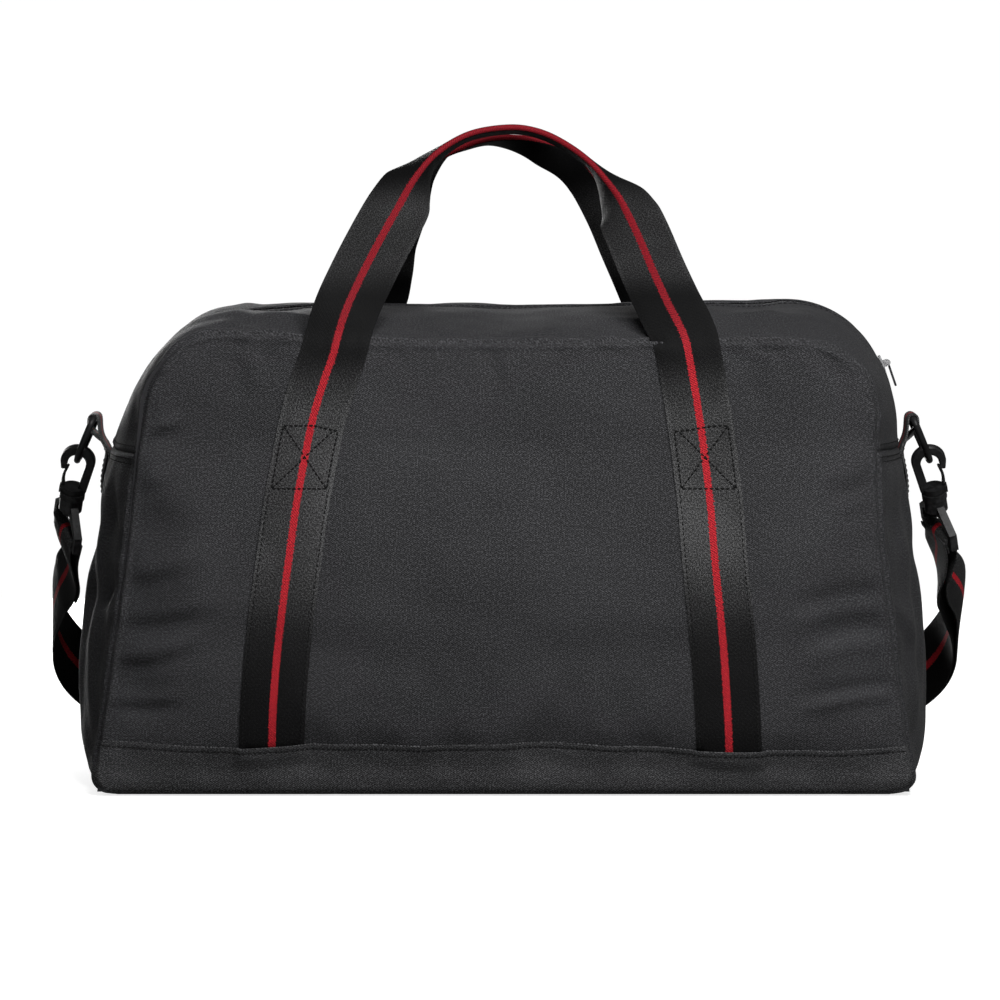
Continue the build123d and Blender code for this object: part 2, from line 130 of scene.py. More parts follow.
def smooth_path(points, step):
    """A Catmull-Rom curve through the points, sampled about every step metres."""
    p = np.array(points, float)
    p = np.vstack([2 * p[0] - p[1], p, 2 * p[-1] - p[-2]])
    out = []
    for i in range(1, len(p) - 2):
        a, b, c, d = p[i - 1:i + 3]
        t = np.linspace(0, 1, 24, endpoint=False)[:, None]
        out.append(0.5 * (2 * b + (c - a) * t + (2 * a - 5 * b + 4 * c - d) * t ** 2
                          + (3 * b - a - 3 * c + d) * t ** 3))
    out.append(p[-2][None])
    dense = np.vstack(out)
    return resample(dense, max(3, int(lengths(dense)[-1] / step) + 1))


def ease(x):
    """A smooth step from 0 to 1."""
    x = np.clip(x, 0, 1)
    return x * x * (3 - 2 * x)


def hump(x, wide):
    """A smooth hump of height 1 over 0, falling away on both sides within about wide."""
    return np.exp(-(x / wide) ** 2)


WAVES = [(unit(rng.normal(size=3)), rng.uniform(0, 2 * math.pi), rng.uniform(0.6, 1.7))
         for _ in range(14)]


def murmur(p, size):
    """Gentle noise between about -1 and 1, with features about size metres across."""
    total = np.zeros(p.shape[:-1])
    for direction, phase, pitch in WAVES:
        total += np.sin(p @ direction * (2 * math.pi * pitch / (2 * size)) + phase)
    return total / math.sqrt(len(WAVES))


def mesh_object(name, verts, faces, uvs=None):
    """A smooth mesh object from arrays, with one UV for each vertex, in metres."""
    mesh = bpy.data.meshes.new(name)
    faces = faces if isinstance(faces, list) else faces.tolist()
    mesh.from_pydata(np.asarray(verts).tolist(), [], faces)
    mesh.validate()
    mesh.polygons.foreach_set("use_smooth", [True] * len(mesh.polygons))
    if uvs is not None:
        layer = mesh.uv_layers.new(name="UVMap")
        corner = np.zeros(len(mesh.loops), np.int32)
        mesh.loops.foreach_get("vertex_index", corner)
        layer.data.foreach_set("uv", np.asarray(uvs)[corner].astype(np.float32).ravel())
    mesh.update()
    obj = bpy.data.objects.new(name, mesh)
    bpy.context.collection.objects.link(obj)
    return obj


def grid_faces(rows, cols, start=0, wrap=False):
    """Quads of a grid of vertices; wrap joins the last column to the first."""
    i, j = np.meshgrid(np.arange(rows - 1), np.arange(cols if wrap else cols - 1), indexing="ij")
    k = (j + 1) % cols
    quads = np.stack([i * cols + j, i * cols + k, (i + 1) * cols + k, (i + 1) * cols + j], -1)
    return quads.reshape(-1, 4) + start


def grid_normals(p):
    """Normals of a grid of points."""
    return unit(np.cross(np.gradient(p, axis=1), np.gradient(p, axis=0)))


def closed_grid(name, outer, inner, uv):
    """A closed piece between two grids of points, with a rim round their borders."""
    rows, cols = outer.shape[:2]
    count = rows * cols
    top = grid_faces(rows, cols)
    low = grid_faces(rows, cols, count)[:, ::-1]
    border = np.concatenate([np.arange(cols), np.arange(2 * cols - 1, count, cols),
                             np.arange(count - 2, count - cols - 1, -1),
                             np.arange(count - 2 * cols, 0, -cols)])
    after = np.roll(border, -1)
    rim = np.stack([border, border + count, after + count, after], axis=1)
    facing = np.cross(outer[1, 1] - outer[0, 0], outer[0, 1] - outer[1, 0])
    if np.dot(facing, outer[1, 1] - inner[1, 1]) > 0:
        top, low, rim = top[:, ::-1], low[:, ::-1], rim[:, ::-1]
    verts = np.concatenate([outer.reshape(-1, 3), inner.reshape(-1, 3)])
    flat = uv.reshape(-1, 2)
    faces = np.concatenate([top, low, rim])
    piece = mesh_object(name, verts, faces, np.concatenate([flat, flat]))
    piece.data.set_sharp_from_angle(angle=RIM_ANGLE)
    return piece


def paired(u, v):
    """A grid of UVs from arrays that broadcast to the grid."""
    return np.stack(np.broadcast_arrays(u, v), axis=-1)


def slab(name, outer, out, thick, uv):
    """A closed piece of cloth below its outer grid."""
    return closed_grid(name, outer, outer - out * thick, uv)


def finish_piece(obj, material, body, nodes=()):
    """Material and body of one piece, with the CAD parts that it replaces hidden."""
    obj.data.materials.clear()
    obj.data.materials.append(material)
    if body:
        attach(obj, body)
    if nodes:
        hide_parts(*nodes)
    return obj


# ---- Materials ----------------------------------------------------------------------
class Nodes:
    """A new node material with a few shorthands."""

    def __init__(self, name, **values):
        self.material = bpy.data.materials.new(name)
        self.material.use_nodes = True
        self.tree = self.material.node_tree
        self.shader = self.tree.nodes["Principled BSDF"]
        for socket, value in values.items():
            self.shader.inputs[socket.replace("_", " ")].default_value = value

    def add(self, kind, **settings):
        node = self.tree.nodes.new(kind)
        for key, value in settings.items():
            if key in node.inputs:
                node.inputs[key].default_value = value
            else:
                setattr(node, key, value)
        return node

    def link(self, a, b):
        self.tree.links.new(a, b)

    def paint(self, colour):
        self.link(colour, self.shader.inputs["Base Color"])

    def roughen(self, value):
        self.link(value, self.shader.inputs["Roughness"])

    def math(self, operation, a, b=None, c=None):
        node = self.add("ShaderNodeMath", operation=operation)
        for socket, value in zip(node.inputs, (a, b, c)):
            if value is None:
                continue
            if isinstance(value, (int, float)):
                socket.default_value = value
            else:
                self.link(value, socket)
        return node.outputs[0]

    def times(self, a, b):
        return self.math("MULTIPLY", a, b)

    def times_add(self, a, b, c):
        return self.math("MULTIPLY_ADD", a, b, c)

    def wave(self, value, pitch):
        return self.math("SINE", self.times(value, 2 * math.pi / pitch))

    def mix(self, share, a, b):
        node = self.add("ShaderNodeMix", data_type="RGBA")
        for socket, value in ((node.inputs["Factor"], share), (node.inputs["A"], a),
                              (node.inputs["B"], b)):
            if isinstance(value, (int, float)):
                socket.default_value = value
            elif isinstance(value, tuple):
                socket.default_value = (*value, 1)
            else:
                self.link(value, socket)
        return node.outputs["Result"]

    def noise(self, vector, scale, detail=3.0, rough=0.55):
        node = self.add("ShaderNodeTexNoise", Scale=scale, Detail=detail, Roughness=rough)
        self.link(vector, node.inputs["Vector"])
        return node.outputs["Fac"]

    def ramp(self, value, low, high, to_low=0.0, to_high=1.0):
        node = self.add("ShaderNodeMapRange", interpolation_type="SMOOTHSTEP")
        self.link(value, node.inputs["Value"])
        for key, number in (("From Min", low), ("From Max", high),
                            ("To Min", to_low), ("To Max", to_high)):
            node.inputs[key].default_value = number
        return node.outputs["Result"]

    def bump(self, height, strength, distance):
        node = self.add("ShaderNodeBump", Strength=strength, Distance=distance)
        self.link(height, node.inputs["Height"])
        self.link(node.outputs["Normal"], self.shader.inputs["Normal"])

    def split(self, vector):
        node = self.add("ShaderNodeSeparateXYZ")
        self.link(vector, node.inputs[0])
        return node.outputs

    def uv(self):
        vector = self.add("ShaderNodeUVMap", uv_map="UVMap").outputs["UV"]
        parts = self.split(vector)
        return vector, parts["X"], parts["Y"]

    def place(self):
        return self.add("ShaderNodeTexCoord").outputs["Object"]


def twill_material(name, dark, light, pitch=1.15 * MM):
    """Polyester twill: slanted ribs, broken by the yarns across them, and heathered."""
    n = Nodes(name, Roughness=0.7, Sheen_Weight=0.02, Sheen_Roughness=0.4,
              Specular_IOR_Level=0.09)
    uv, u, v = n.uv()
    slant = n.times_add(u, 0.62, v)
    wobble = n.times(n.noise(uv, 260.0, 2.0), 0.9 * MM)
    rib = n.times_add(n.wave(n.math("ADD", slant, wobble), pitch), 0.5, 0.5)
    cross = n.math("SUBTRACT", u, n.times(v, 0.5))
    yarn = n.times_add(n.wave(cross, 0.8 * pitch), 0.5, 0.5)
    weave = n.times(rib, n.times_add(yarn, 0.45, 0.55))
    speck = n.ramp(n.noise(uv, 1090.0, 1.0, 0.6), 0.43, 0.71)
    broad = n.ramp(n.noise(n.place(), 9.0, 4.0), 0.35, 0.7)
    shade = n.times_add(weave, 0.33, n.times(speck, 0.44))
    shade = n.times_add(broad, 0.05, shade)
    n.paint(n.mix(shade, dark, light))
    n.roughen(n.ramp(speck, 0, 1, 0.78, 0.62))
    height = n.times_add(n.noise(uv, 900.0, 3.0), 0.5, weave)
    n.bump(height, 0.55, 0.22 * MM)
    return n.material


def webbing_material(name):
    """Woven polyester webbing: lengthwise ribs, weft ridges and a red stripe. The UV is
    metres: across from the middle, and along."""
    n = Nodes(name, Roughness=0.65, Sheen_Weight=0.01, Sheen_Roughness=0.35,
              Specular_IOR_Level=0.05)
    uv, u, v = n.uv()
    basket = n.times_add(n.times(n.wave(v, 1.25 * MM), n.wave(u, 1.3 * MM)), 0.35, 0.5)
    weave = n.times_add(n.wave(n.math("ADD", v, u), 2.6 * MM), 0.15, basket)
    speck = n.ramp(n.noise(uv, 1250.0, 1.0, 0.6), 0.40, 0.76)
    patchy = n.ramp(n.noise(n.place(), 14.0, 3.0), 0.35, 0.75)
    shade = n.times_add(weave, 0.16, n.times(speck, 0.46))
    shade = n.times(shade, n.times_add(patchy, 0.6, 0.55))
    # Painted highlight: paler where the belts lie on the fullest part of the panels. Paler in a
    # band on the handles' legs and along the edges. Painted shade: darker from the seams at the
    # panels' tops up over the handles.
    up = n.split(n.place())["Z"]
    painted_highlight = n.times(n.ramp(up, 0.075, 0.165), n.ramp(up, 0.215, 0.262, 1.0, 0.0))
    grip_band = n.times(n.ramp(up, 0.290, 0.312), n.ramp(up, 0.340, 0.362, 1.0, 0.0))
    painted_shade = n.ramp(up, 0.240, 0.290, 1.0, 0.35)
    # Tone of the black webbing: the painted highlight and the paler grip band, times the painted
    # shade.
    tone_scale = n.times_add(grip_band, 1.3, n.times(n.times_add(painted_highlight, 2.4, 0.28), painted_shade))
    off = n.math("ABSOLUTE", u)
    edge = n.ramp(off, WEB_HALF - 2.6 * MM, WEB_HALF - 1.6 * MM, 1.0, 1.35)
    shade = n.times(n.times(shade, edge), tone_scale)
    black = n.mix(shade, (0.0015, 0.0015, 0.0016), (0.068, 0.068, 0.069))

    ragged = n.times(n.math("SUBTRACT", n.noise(uv, 900.0, 1.0), 0.5), 2.2 * MM)
    inside = n.ramp(n.math("ADD", off, ragged), STRIPE / 2 - 0.15 * MM, STRIPE / 2 + 0.15 * MM,
                    1.0, 0.0)
    ridge = n.wave(n.times_add(u, 0.8, v), 1.5 * MM)
    # The red stripe also takes the painted shade over the handles.
    tone = n.times(n.times_add(speck, 0.46, n.times_add(ridge, 0.2, 0.25)), painted_shade)
    n.paint(n.mix(inside, black, n.mix(tone, (0.05, 0.002, 0.005), (0.60, 0.027, 0.036))))
    height = n.times_add(n.noise(uv, 1250.0, 2.0), 0.7, n.times(weave, 0.6))
    n.bump(height, 0.7, 0.3 * MM)
    return n.material


def tape_material(name):
    """Zip tape: a fine knit with lengthwise ribs."""
    n = Nodes(name, Roughness=0.7, Sheen_Weight=0.2)
    _, u, v = n.uv()
    weave = n.times_add(n.times(n.wave(u, 1.1 * MM), n.wave(v, 0.9 * MM)), 0.5, 0.5)
    n.paint(n.mix(weave, (0.006, 0.006, 0.007), (0.03, 0.03, 0.032)))
    n.bump(weave, 0.5, 0.2 * MM)
    return n.material


def plastic_material(name, low, high, rough, scale=240.0):
    """Moulded plastic: fine grain, slightly uneven gloss, and paler where it rubs."""
    n = Nodes(name, Roughness=rough, Specular_IOR_Level=0.16)
    place = n.place()
    grain = n.noise(place, scale * 6, 3.0)
    cloud = n.ramp(n.noise(place, scale / 4, 3.0), 0.3, 0.75)
    edge = n.ramp(n.add("ShaderNodeNewGeometry").outputs["Pointiness"], 0.5, 0.62)
    tone_scale = n.times(edge, n.ramp(n.noise(place, scale * 1.5, 4.0), 0.4, 0.6))
    shade = n.times_add(tone_scale, 0.6, n.times(cloud, 0.4))
    n.paint(n.mix(shade, low, high))
    n.roughen(n.ramp(grain, 0.3, 0.7, rough - 0.08, rough + 0.1))
    n.bump(grain, 0.35, 0.06 * MM)
    return n.material


def metal_material(name, low, high, rough):
    """Plated zinc with a soft cloudy gloss and fine scratches."""
    n = Nodes(name, Metallic=1.0, Roughness=rough)
    place = n.place()
    cloud = n.noise(place, 300.0, 4.0)
    scratch = n.noise(place, 2600.0, 2.0)
    n.paint(n.mix(n.ramp(cloud, 0.3, 0.7), low, high))
    n.roughen(n.ramp(scratch, 0.3, 0.7, rough - 0.08, rough + 0.15))
    n.bump(scratch, 0.2, 0.03 * MM)
    return n.material


def thread_material(name, colour, light):
    """Twisted sewing thread."""
    n = Nodes(name, Roughness=0.7, Specular_IOR_Level=0.1)
    twist = n.noise(n.place(), 2500.0, 2.0)
    n.paint(n.mix(twist, colour, light))
    n.bump(twist, 0.5, 0.1 * MM)
    return n.material


TWILL = twill_material("twill_body", (0.0020, 0.0020, 0.0021), (0.074, 0.074, 0.079))
BASE_TWILL = twill_material("twill_base", (0.0020, 0.0020, 0.0021), (0.120, 0.120, 0.125))
WEBBING = webbing_material("webbing_striped")
TAPE = tape_material("zip_tape_knit")
COIL = plastic_material("zip_coil_nylon", (0.010, 0.010, 0.011), (0.06, 0.06, 0.062), 0.4)
PLASTIC = plastic_material("moulded_plastic", (0.0035, 0.0035, 0.0037), (0.022, 0.022, 0.023), 0.42)
PULL = plastic_material("pull_lacquer", (0.006, 0.006, 0.007), (0.03, 0.03, 0.032), 0.3)
METAL = metal_material("plated_zinc", (0.42, 0.42, 0.43), (0.70, 0.70, 0.71), 0.28)
BLACK_THREAD = thread_material("black_thread", (0.0012, 0.0012, 0.0012), (0.006, 0.006, 0.0062))
GREY_THREAD = thread_material("grey_thread", (0.012, 0.012, 0.013), (0.05, 0.05, 0.052))
LINING = twill_material("lining_cloth", (0.012, 0.012, 0.013), (0.05, 0.05, 0.053), 0.7 * MM)
BOARD = plastic_material("board_fibre", (0.02, 0.018, 0.016), (0.07, 0.065, 0.06), 0.8, 90.0)


# ---- The body: one closed grid, bent by a cloth simulation ----------------------------
def side_outline(shape):
    """The right half of an outline, from under the edge up to the end of the shoulder."""
    base, radius, top = shape["base"], shape["radius"], shape["top"]
    join = math.radians(shape["join"])
    t = np.linspace(-math.pi / 2, 0, 9)
    foot = np.stack([base - ROLL + ROLL * np.cos(t), ROLL + ROLL * np.sin(t)], axis=1)
    middle = (shape["shoulder"], top - radius)
    start = (middle[0] + radius * math.cos(join), middle[1] + radius * math.sin(join))
    side = arc_through(tuple(foot[-1]), shape["side"], start, 60)
    t = np.linspace(join, math.pi / 2, 25)
    bend = np.stack([middle[0] + radius * np.cos(t), middle[1] + radius * np.sin(t)], axis=1)
    whole = np.vstack([foot, side[1:], bend[1:]])
    cut = np.argmax(whole[:, 1] > GUSSET_TOP)
    share = (GUSSET_TOP - whole[cut - 1, 1]) / (whole[cut, 1] - whole[cut - 1, 1])
    corner = whole[cut - 1] + share * (whole[cut] - whole[cut - 1])
    low = resample(np.vstack([whole[:cut], corner]), LOW_ROWS + 1)
    high = resample(np.vstack([corner, whole[cut:]]), ROWS - LOW_ROWS + 1)
    return np.vstack([low, high[1:]])


def full_outline(shape):
    """The whole outline, from under the left edge, over the top, to under the right."""
    right = side_outline(shape)
    left = right * (-1, 1)
    top = np.linspace(left[-1], right[-1], COLUMNS + 1)
    return np.vstack([left, top[1:-1], right[::-1]])


SEAM_LINE, CROWN_LINE = full_outline(SEAM), full_outline(CROWN)
AROUND = len(SEAM_LINE)

# Soft places where the filled shape gives way, in millimetres: centre, reach, and how
# far it moves.
DENTS = (
    ((-240, 0, 150), (100, 90, 43), (7, 0, 0)),
    ((243, 0, 148), (100, 90, 42), (-4, 0, 0)),
    ((-222, 0, 264), (60, 85, 46), (21, 0, -9)),
    ((0, 0, 286), (150, 80, 100), (0, 0, -3.5)),
    ((205, 0, 275), (50, 80, 40), (-1.5, 0, -1.5)),
    ((-170, 0, 290), 45, (4, 0, -3)),
    ((224, -118, 226), 40, (4, 0, 2)),
    ((-216, -118, 235), 40, (3, 0, 0)),
    ((-130, -30, 288), 30, (0, 0, -3)),
    ((148, -30, 288), 30, (0, 0, -2.5)),
    ((0, -70, 284), 60, (0, 0, -2)),
    ((-165, -118, 268), 55, (0, 0, 5)),
    ((195, 60, 270), 50, (0, 0, 3)),
    ((-195, 60, 270), 50, (0, 0, 3)),
    ((0, 118, 45), (240, 50, 30), (0, -4.5, 0)),
)


def give(p):
    """Moves points by the soft dents."""
    moved = p.copy()
    for centre, reach, move in DENTS:
        far = (((p - MM * np.array(centre)) / (MM * np.array(reach))) ** 2).sum(-1)
        moved += np.exp(-far)[..., None] * MM * np.array(move)
    return moved


def seam_depth(z):
    """How far the seams stand from the middle at a height, rolled under at the foot."""
    low = np.clip(FRONT_ROLL - z, 0, FRONT_ROLL)
    return SEAM_Y - FRONT_ROLL + np.sqrt(np.maximum(FRONT_ROLL ** 2 - low ** 2, 0))


BULGE = {-1: 5.5 * MM, 1: 3.0 * MM}  # of the filled front and rear panels


def coarse_body():
    """The four grids of the closed body: front, rear, the long side strip and the base."""
    v = np.linspace(0, 1, DEPTH + 1)[None, :, None]
    share = 1 - np.abs(2 * v - 1) ** 2.2
    outline = SEAM_LINE[:, None] * (1 - share) + CROWN_LINE[:, None] * share
    y = seam_depth(SEAM_LINE[:, 1])[:, None] * (2 * v[..., 0] - 1)
    side = np.stack([outline[..., 0], y, outline[..., 1]], axis=-1)
    across = np.linspace(0, 1, COLUMNS + 1)
    left, right = SEAM_LINE[:ROWS + 1], SEAM_LINE[::-1][:ROWS + 1]
    x = left[:, :1] * (1 - across) + right[:, :1] * across
    z = np.repeat(left[:, 1:], COLUMNS + 1, axis=1)
    a = np.abs(2 * across - 1)[None]
    b = np.abs(np.linspace(-1, 1, ROWS + 1))[:, None]
    pillow = (1 - a ** 6) * (1 - b ** 5)
    front, rear = (np.stack([x, end * (seam_depth(z) + PANEL_OUT * pillow ** 0.35
                                       + BULGE[end] * pillow), z], axis=-1) for end in (-1, 1))
    base = side[0] + (side[-1] - side[0]) * across[:, None, None]
    return give(front), give(rear), give(side), give(base)


def weld_grids(front, rear, side, base):
    """Vertex numbers of the four grids, sharing the vertices along their seams."""
    count = front[..., 0].size
    front_id = np.arange(count).reshape(front.shape[:2])
    rear_id = front_id + count
    side_id = np.zeros(side.shape[:2], int)

    def edge(ids):
        return np.concatenate([ids[:, 0], ids[-1, 1:-1], ids[::-1, -1]])

    side_id[:, 0], side_id[:, -1] = edge(front_id), edge(rear_id)
    inner = side_id[:, 1:-1]
    side_id[:, 1:-1] = np.arange(inner.size).reshape(inner.shape) + 2 * count
    base_id = np.zeros(base.shape[:2], int)
    base_id[0], base_id[-1] = side_id[0], side_id[-1]
    base_id[:, 0], base_id[:, -1] = front_id[0], rear_id[0]
    start = 2 * count + inner.size
    inner = base_id[1:-1, 1:-1]
    base_id[1:-1, 1:-1] = np.arange(inner.size).reshape(inner.shape) + start
    return front_id, rear_id, side_id, base_id


def relaxed(grid, times=2):
    """A grid of moves with its finest ripples smoothed away, and its border kept."""
    for _ in range(times):
        inner = grid[1:-1, 1:-1]
        around = (grid[:-2, 1:-1] + grid[2:, 1:-1] + grid[1:-1, :-2] + grid[1:-1, 2:]) / 4
        grid = grid.copy()
        grid[1:-1, 1:-1] = 0.5 * inner + 0.5 * around
    return grid


def vertex_group(shell, name, parts):
    """A vertex group from pairs of vertex numbers and weight; later pairs win."""
    weights = np.zeros(len(shell.data.vertices))
    for numbers, weight in parts:
        weights[numbers] = weight
    group = shell.vertex_groups.new(name=name)
    for number in np.nonzero(weights)[0]:
        group.add([int(number)], float(weights[number]), "REPLACE")


CLOTH_SETTINGS = {
    "quality": 6, "mass": 0.25, "tension_stiffness": 18, "compression_stiffness": 18,
    "shear_stiffness": 6, "bending_stiffness": 5.0, "use_pressure": True,
    "uniform_pressure_force": 2.2, "vertex_group_mass": "held",
    "vertex_group_shrink": "gather", "shrink_min": -0.012, "shrink_max": 0.012}
FRAMES = 24
MOST_SWELL = 7 * MM  # the cloth moves no further than this
CALM_CROWN, CALM_REACH = 0.235, 0.03  # and up or down less and less over this height
CALM_BASE = 0.024  # or less and less below this


def simulate_body(grids):
    """Blows the closed body up as cloth, with its seams held and slightly gathered."""
    ids = weld_grids(*grids)
    rest = np.zeros((max(i.max() for i in ids) + 1, 3))
    for grid, number in zip(grids, ids):
        rest[number] = grid
    quads = []
    for number, turned in zip(ids, (False, True, True, False)):
        faces = number.ravel()[grid_faces(*number.shape)]
        quads.append(faces[:, ::-1] if turned else faces)
    shell = mesh_object("body_shell", rest, np.concatenate(quads))
    _, _, side_id, base_id = ids
    crown = side_id[:, DEPTH // 2 - 1:DEPTH // 2 + 2]
    seams, beside = side_id[:, (0, -1)], side_id[:, (1, -2)]
    gusset_tops = side_id[[LOW_ROWS, AROUND - 1 - LOW_ROWS]]
    vertex_group(shell, "held", ((crown, 0.85), (seams, 0.7), (gusset_tops, 0.35), (base_id, 1.0)))
    vertex_group(shell, "gather", ((seams, 1.0), (beside, 0.6), (gusset_tops, 0.8)))
    cloth = shell.modifiers.new("cloth", "CLOTH")
    for key, value in CLOTH_SETTINGS.items():
        setattr(cloth.settings, key, value)
    cloth.settings.effector_weights.gravity = 0
    cloth.collision_settings.use_collision = False
    cloth.point_cache.frame_start, cloth.point_cache.frame_end = 1, FRAMES
    scene = bpy.context.scene
    for number in range(1, FRAMES + 1):
        scene.frame_set(number)
    seen = shell.evaluated_get(bpy.context.evaluated_depsgraph_get()).to_mesh()
    bent = np.zeros(rest.size)
    seen.vertices.foreach_get("co", bent)
    move = bent.reshape(-1, 3) - rest
    size = np.linalg.norm(move, axis=1, keepdims=True)
    move *= np.minimum(1, MOST_SWELL / np.maximum(size, 1e-9))
    move[:, 2] *= 1 - 0.8 * ease((rest[:, 2] - CALM_CROWN) / CALM_REACH)
    move *= ease(rest[:, 2:] / CALM_BASE)
    bpy.data.objects.remove(shell, do_unlink=True)
    scene.frame_set(1)
    return [grid + relaxed(move[number]) for grid, number in zip(grids, ids)]


class Surface:
    """A smooth surface through a grid of points, read at any row and column."""

    def __init__(self, grid):
        self.grid = grid
        rows, cols = grid.shape[:2]
        own = np.ix_([0, *range(rows), rows - 1], [0, *range(cols), cols - 1])
        mirrored = np.ix_([1, *range(rows), rows - 2], [1, *range(cols), cols - 2])
        self.wide = 2 * grid[own] - grid[mirrored]  # continued one step past each edge

    def at(self, r, c):
        r, c = np.broadcast_arrays(r, c)
        rows, cols = self.grid.shape[:2]
        i = np.clip(np.floor(r).astype(int), 0, rows - 2)
        j = np.clip(np.floor(c).astype(int), 0, cols - 2)
        a, b = self.weights(r - i), self.weights(c - j)
        return sum((a[m] * b[n])[..., None] * self.wide[i + m, j + n]
                   for m in range(4) for n in range(4))

    @staticmethod
    def weights(t):
        return (0.5 * (-t + 2 * t ** 2 - t ** 3), 0.5 * (2 - 5 * t ** 2 + 3 * t ** 3),
                0.5 * (t + 4 * t ** 2 - 3 * t ** 3), 0.5 * (-t ** 2 + t ** 3))


def round_for_slider(side):
    """The crown brought to one circle where the slider travels, over the right shoulder."""
    turn = np.array((CROWN["shoulder"], 0, CROWN["top"] - CROWN["radius"]))
    arm = side[:, DEPTH // 2] - turn
    angle = np.arctan2(arm[:, 2], arm[:, 0])
    radius = np.linalg.norm(arm, axis=1)
    parked = np.mean(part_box("zip_slider"), axis=0) - turn
    order = np.argsort(angle)
    at_slider = np.interp(math.atan2(parked[2], parked[0]), angle[order], radius[order])
    window = ease((np.degrees(angle) - 4) / 12) * ease((108 - np.degrees(angle)) / 14)
    beside = hump(side[..., 1:2], 32 * MM)
    return side + (unit(arm) * ((at_slider - radius) * window)[:, None])[:, None] * beside


# The upper panels stay within this depth, which grows below a height, softly.
TAUT_Y, TAUT_Z, TAUT_SLOPE = 0.1214, 0.205, 0.15
TAUT_SOFT = 0.8 * MM


def taut_above(grid):
    """A panel kept flat where the handles pull on it, so that they can fold down over it."""
    depth = np.abs(grid[..., 1])
    most = TAUT_Y + TAUT_SLOPE * np.maximum(TAUT_Z - grid[..., 2], 0)
    over = TAUT_SOFT * np.logaddexp(0, (depth - most) / TAUT_SOFT)
    flat = grid.copy()
    flat[..., 1] = np.sign(grid[..., 1]) * (depth - over)
    return flat


front_grid, rear_grid, side_grid, base_grid = simulate_body(coarse_body())
FRONT, REAR = Surface(taut_above(front_grid)), Surface(taut_above(rear_grid))
SIDE, BASE = Surface(round_for_slider(side_grid)), Surface(base_grid)

# ---- Fabric pieces of the body --------------------------------------------------------
# Soft folds, in millimetres: from and to in the piece's plane, half width and height.
# On the front panel, across and up.
FRONT_FOLDS = (
    (-222, 206, -188, 222, 4, 2.7), (-226, 176, -196, 190, 4, 1.5),
    (-232, 128, -180, 140, 5, 2.2), (-233, 106, -170, 112, 5, 2), (-235, 80, -178, 92, 5, 2.2),
    (-236, 56, -186, 60, 4, 1.7), (228, 112, 168, 104, 5, 2.2), (229, 92, 176, 82, 5, 1.9),
    (231, 60, 172, 52, 4, 2), (222, 178, 190, 166, 5, 1.5), (-196, 112, -20, 100, 12, 1),
    (10, 98, 190, 112, 12, 0.9), (-100, 34, -94, 66, 7, 0.9), (-62, 34, -54, 74, 8, 1.1),
    (-20, 34, -26, 70, 7, 0.8), (18, 34, 24, 74, 8, 1.1), (58, 34, 50, 68, 7, 0.9),
    (88, 34, 90, 62, 7, 0.8), (0, 262, 2, 238, 4, 0.9), (-150, 262, -142, 236, 6, 0.9),
    (150, 262, 158, 232, 6, 0.9),
)
REAR_FOLDS = tuple((-x, z, -0.96 * to_x, to_z + 4, wide, high)
                   for x, z, to_x, to_z, wide, high in FRONT_FOLDS[::2])
# Up the gussets, in depth and height.
GUSSET_FOLDS = (
    (-90, 30, -78, 185, 9, 1.8), (-58, 60, -52, 190, 8, 1.3), (-34, 20, -30, 120, 7, 1.1),
    (40, 30, 46, 150, 8, 1.4), (82, 40, 70, 190, 9, 1.8), (-110, 110, -84, 90, 5, 1.2),
    (110, 120, 84, 100, 5, 1.2),
)
# On the top strips, along the bag and in depth.
TOP_FOLDS = (
    (-165, -108, -150, -30, 7, 1.3), (-60, -112, -75, -50, 8, 1), (30, -112, 15, -60, 8, 1),
    (150, -110, 160, -35, 7, 1.3), (-200, -70, -60, -85, 10, 1.2), (60, -85, 190, -65, 10, 1.2),
)


def fold_height(flat, folds):
    """Height of soft ridges, each with a hollow beside it, over points of a plane."""
    total = np.zeros(flat.shape[:-1])
    for *ends, wide, high in MM * np.array(folds):
        a, b = np.reshape(ends, (2, 2))
        run = b - a
        size = np.linalg.norm(run)
        along = (flat - a) @ run / size ** 2
        off = ((flat - a) @ np.array([-run[1], run[0]])) / size
        off = off + 0.25 * wide * np.sin(along * 5 + size * 90)
        window = ease(along / 0.35 + 0.4) * ease((1 - along) / 0.45 + 0.3)
        ridge = hump(off, wide) - 0.75 * hump(off + 1.7 * wide, wide)
        total += high * window * ridge
    return total


def near(points, line):
    """Distance from each point to a line of points."""
    flat = points.reshape(-1, 3)
    best = np.full(len(flat), 1e9)
    for chunk in np.array_split(line, max(1, len(line) // 60)):
        gap = ((flat[:, None] - chunk[None]) ** 2).sum(-1).min(1)
        best = np.minimum(best, gap)
    return np.sqrt(best).reshape(points.shape[:-1])


def seam_relief(p, gap, ridge=1.0 * MM):
    """The rounded edge beside a turned seam, gathered a little, and the crease in it."""
    wave = 1 + 0.35 * murmur(p, 11 * MM)
    swell = ridge * wave * hump(gap - 3.4 * MM, 2.1 * MM)
    crease = -1.5 * MM * hump(gap, 1.2 * MM)
    gather = 0.55 * MM * murmur(p, 8 * MM) * np.exp(-gap / (11 * MM)) * ease(gap / (3 * MM))
    return swell + crease + gather


def cloth_noise(p):
    """The slight unevenness of filled cloth."""
    return 0.55 * MM * murmur(p, 42 * MM) + 0.22 * MM * murmur(p + 0.3, 17 * MM)


def dense_ends(start, end, count, tight=0.6):
    """Numbers from start to end, closer together near both."""
    t = np.linspace(0, 1, count)
    t = t - tight * np.sin(2 * math.pi * t) / (2 * math.pi)
    return start + (end - start) * t


SEAM_HEIGHT = SEAM_LINE[:ROWS + 1, 1]  # of each row of the coarse grids


def row_at(height):
    """Row of the coarse grids at a height on the seams."""
    return np.interp(height, SEAM_HEIGHT, np.arange(ROWS + 1))


def depth_column(y):
    """Column of the side grid at a distance from the middle."""
    return (y / SEAM_Y + 1) / 2 * DEPTH


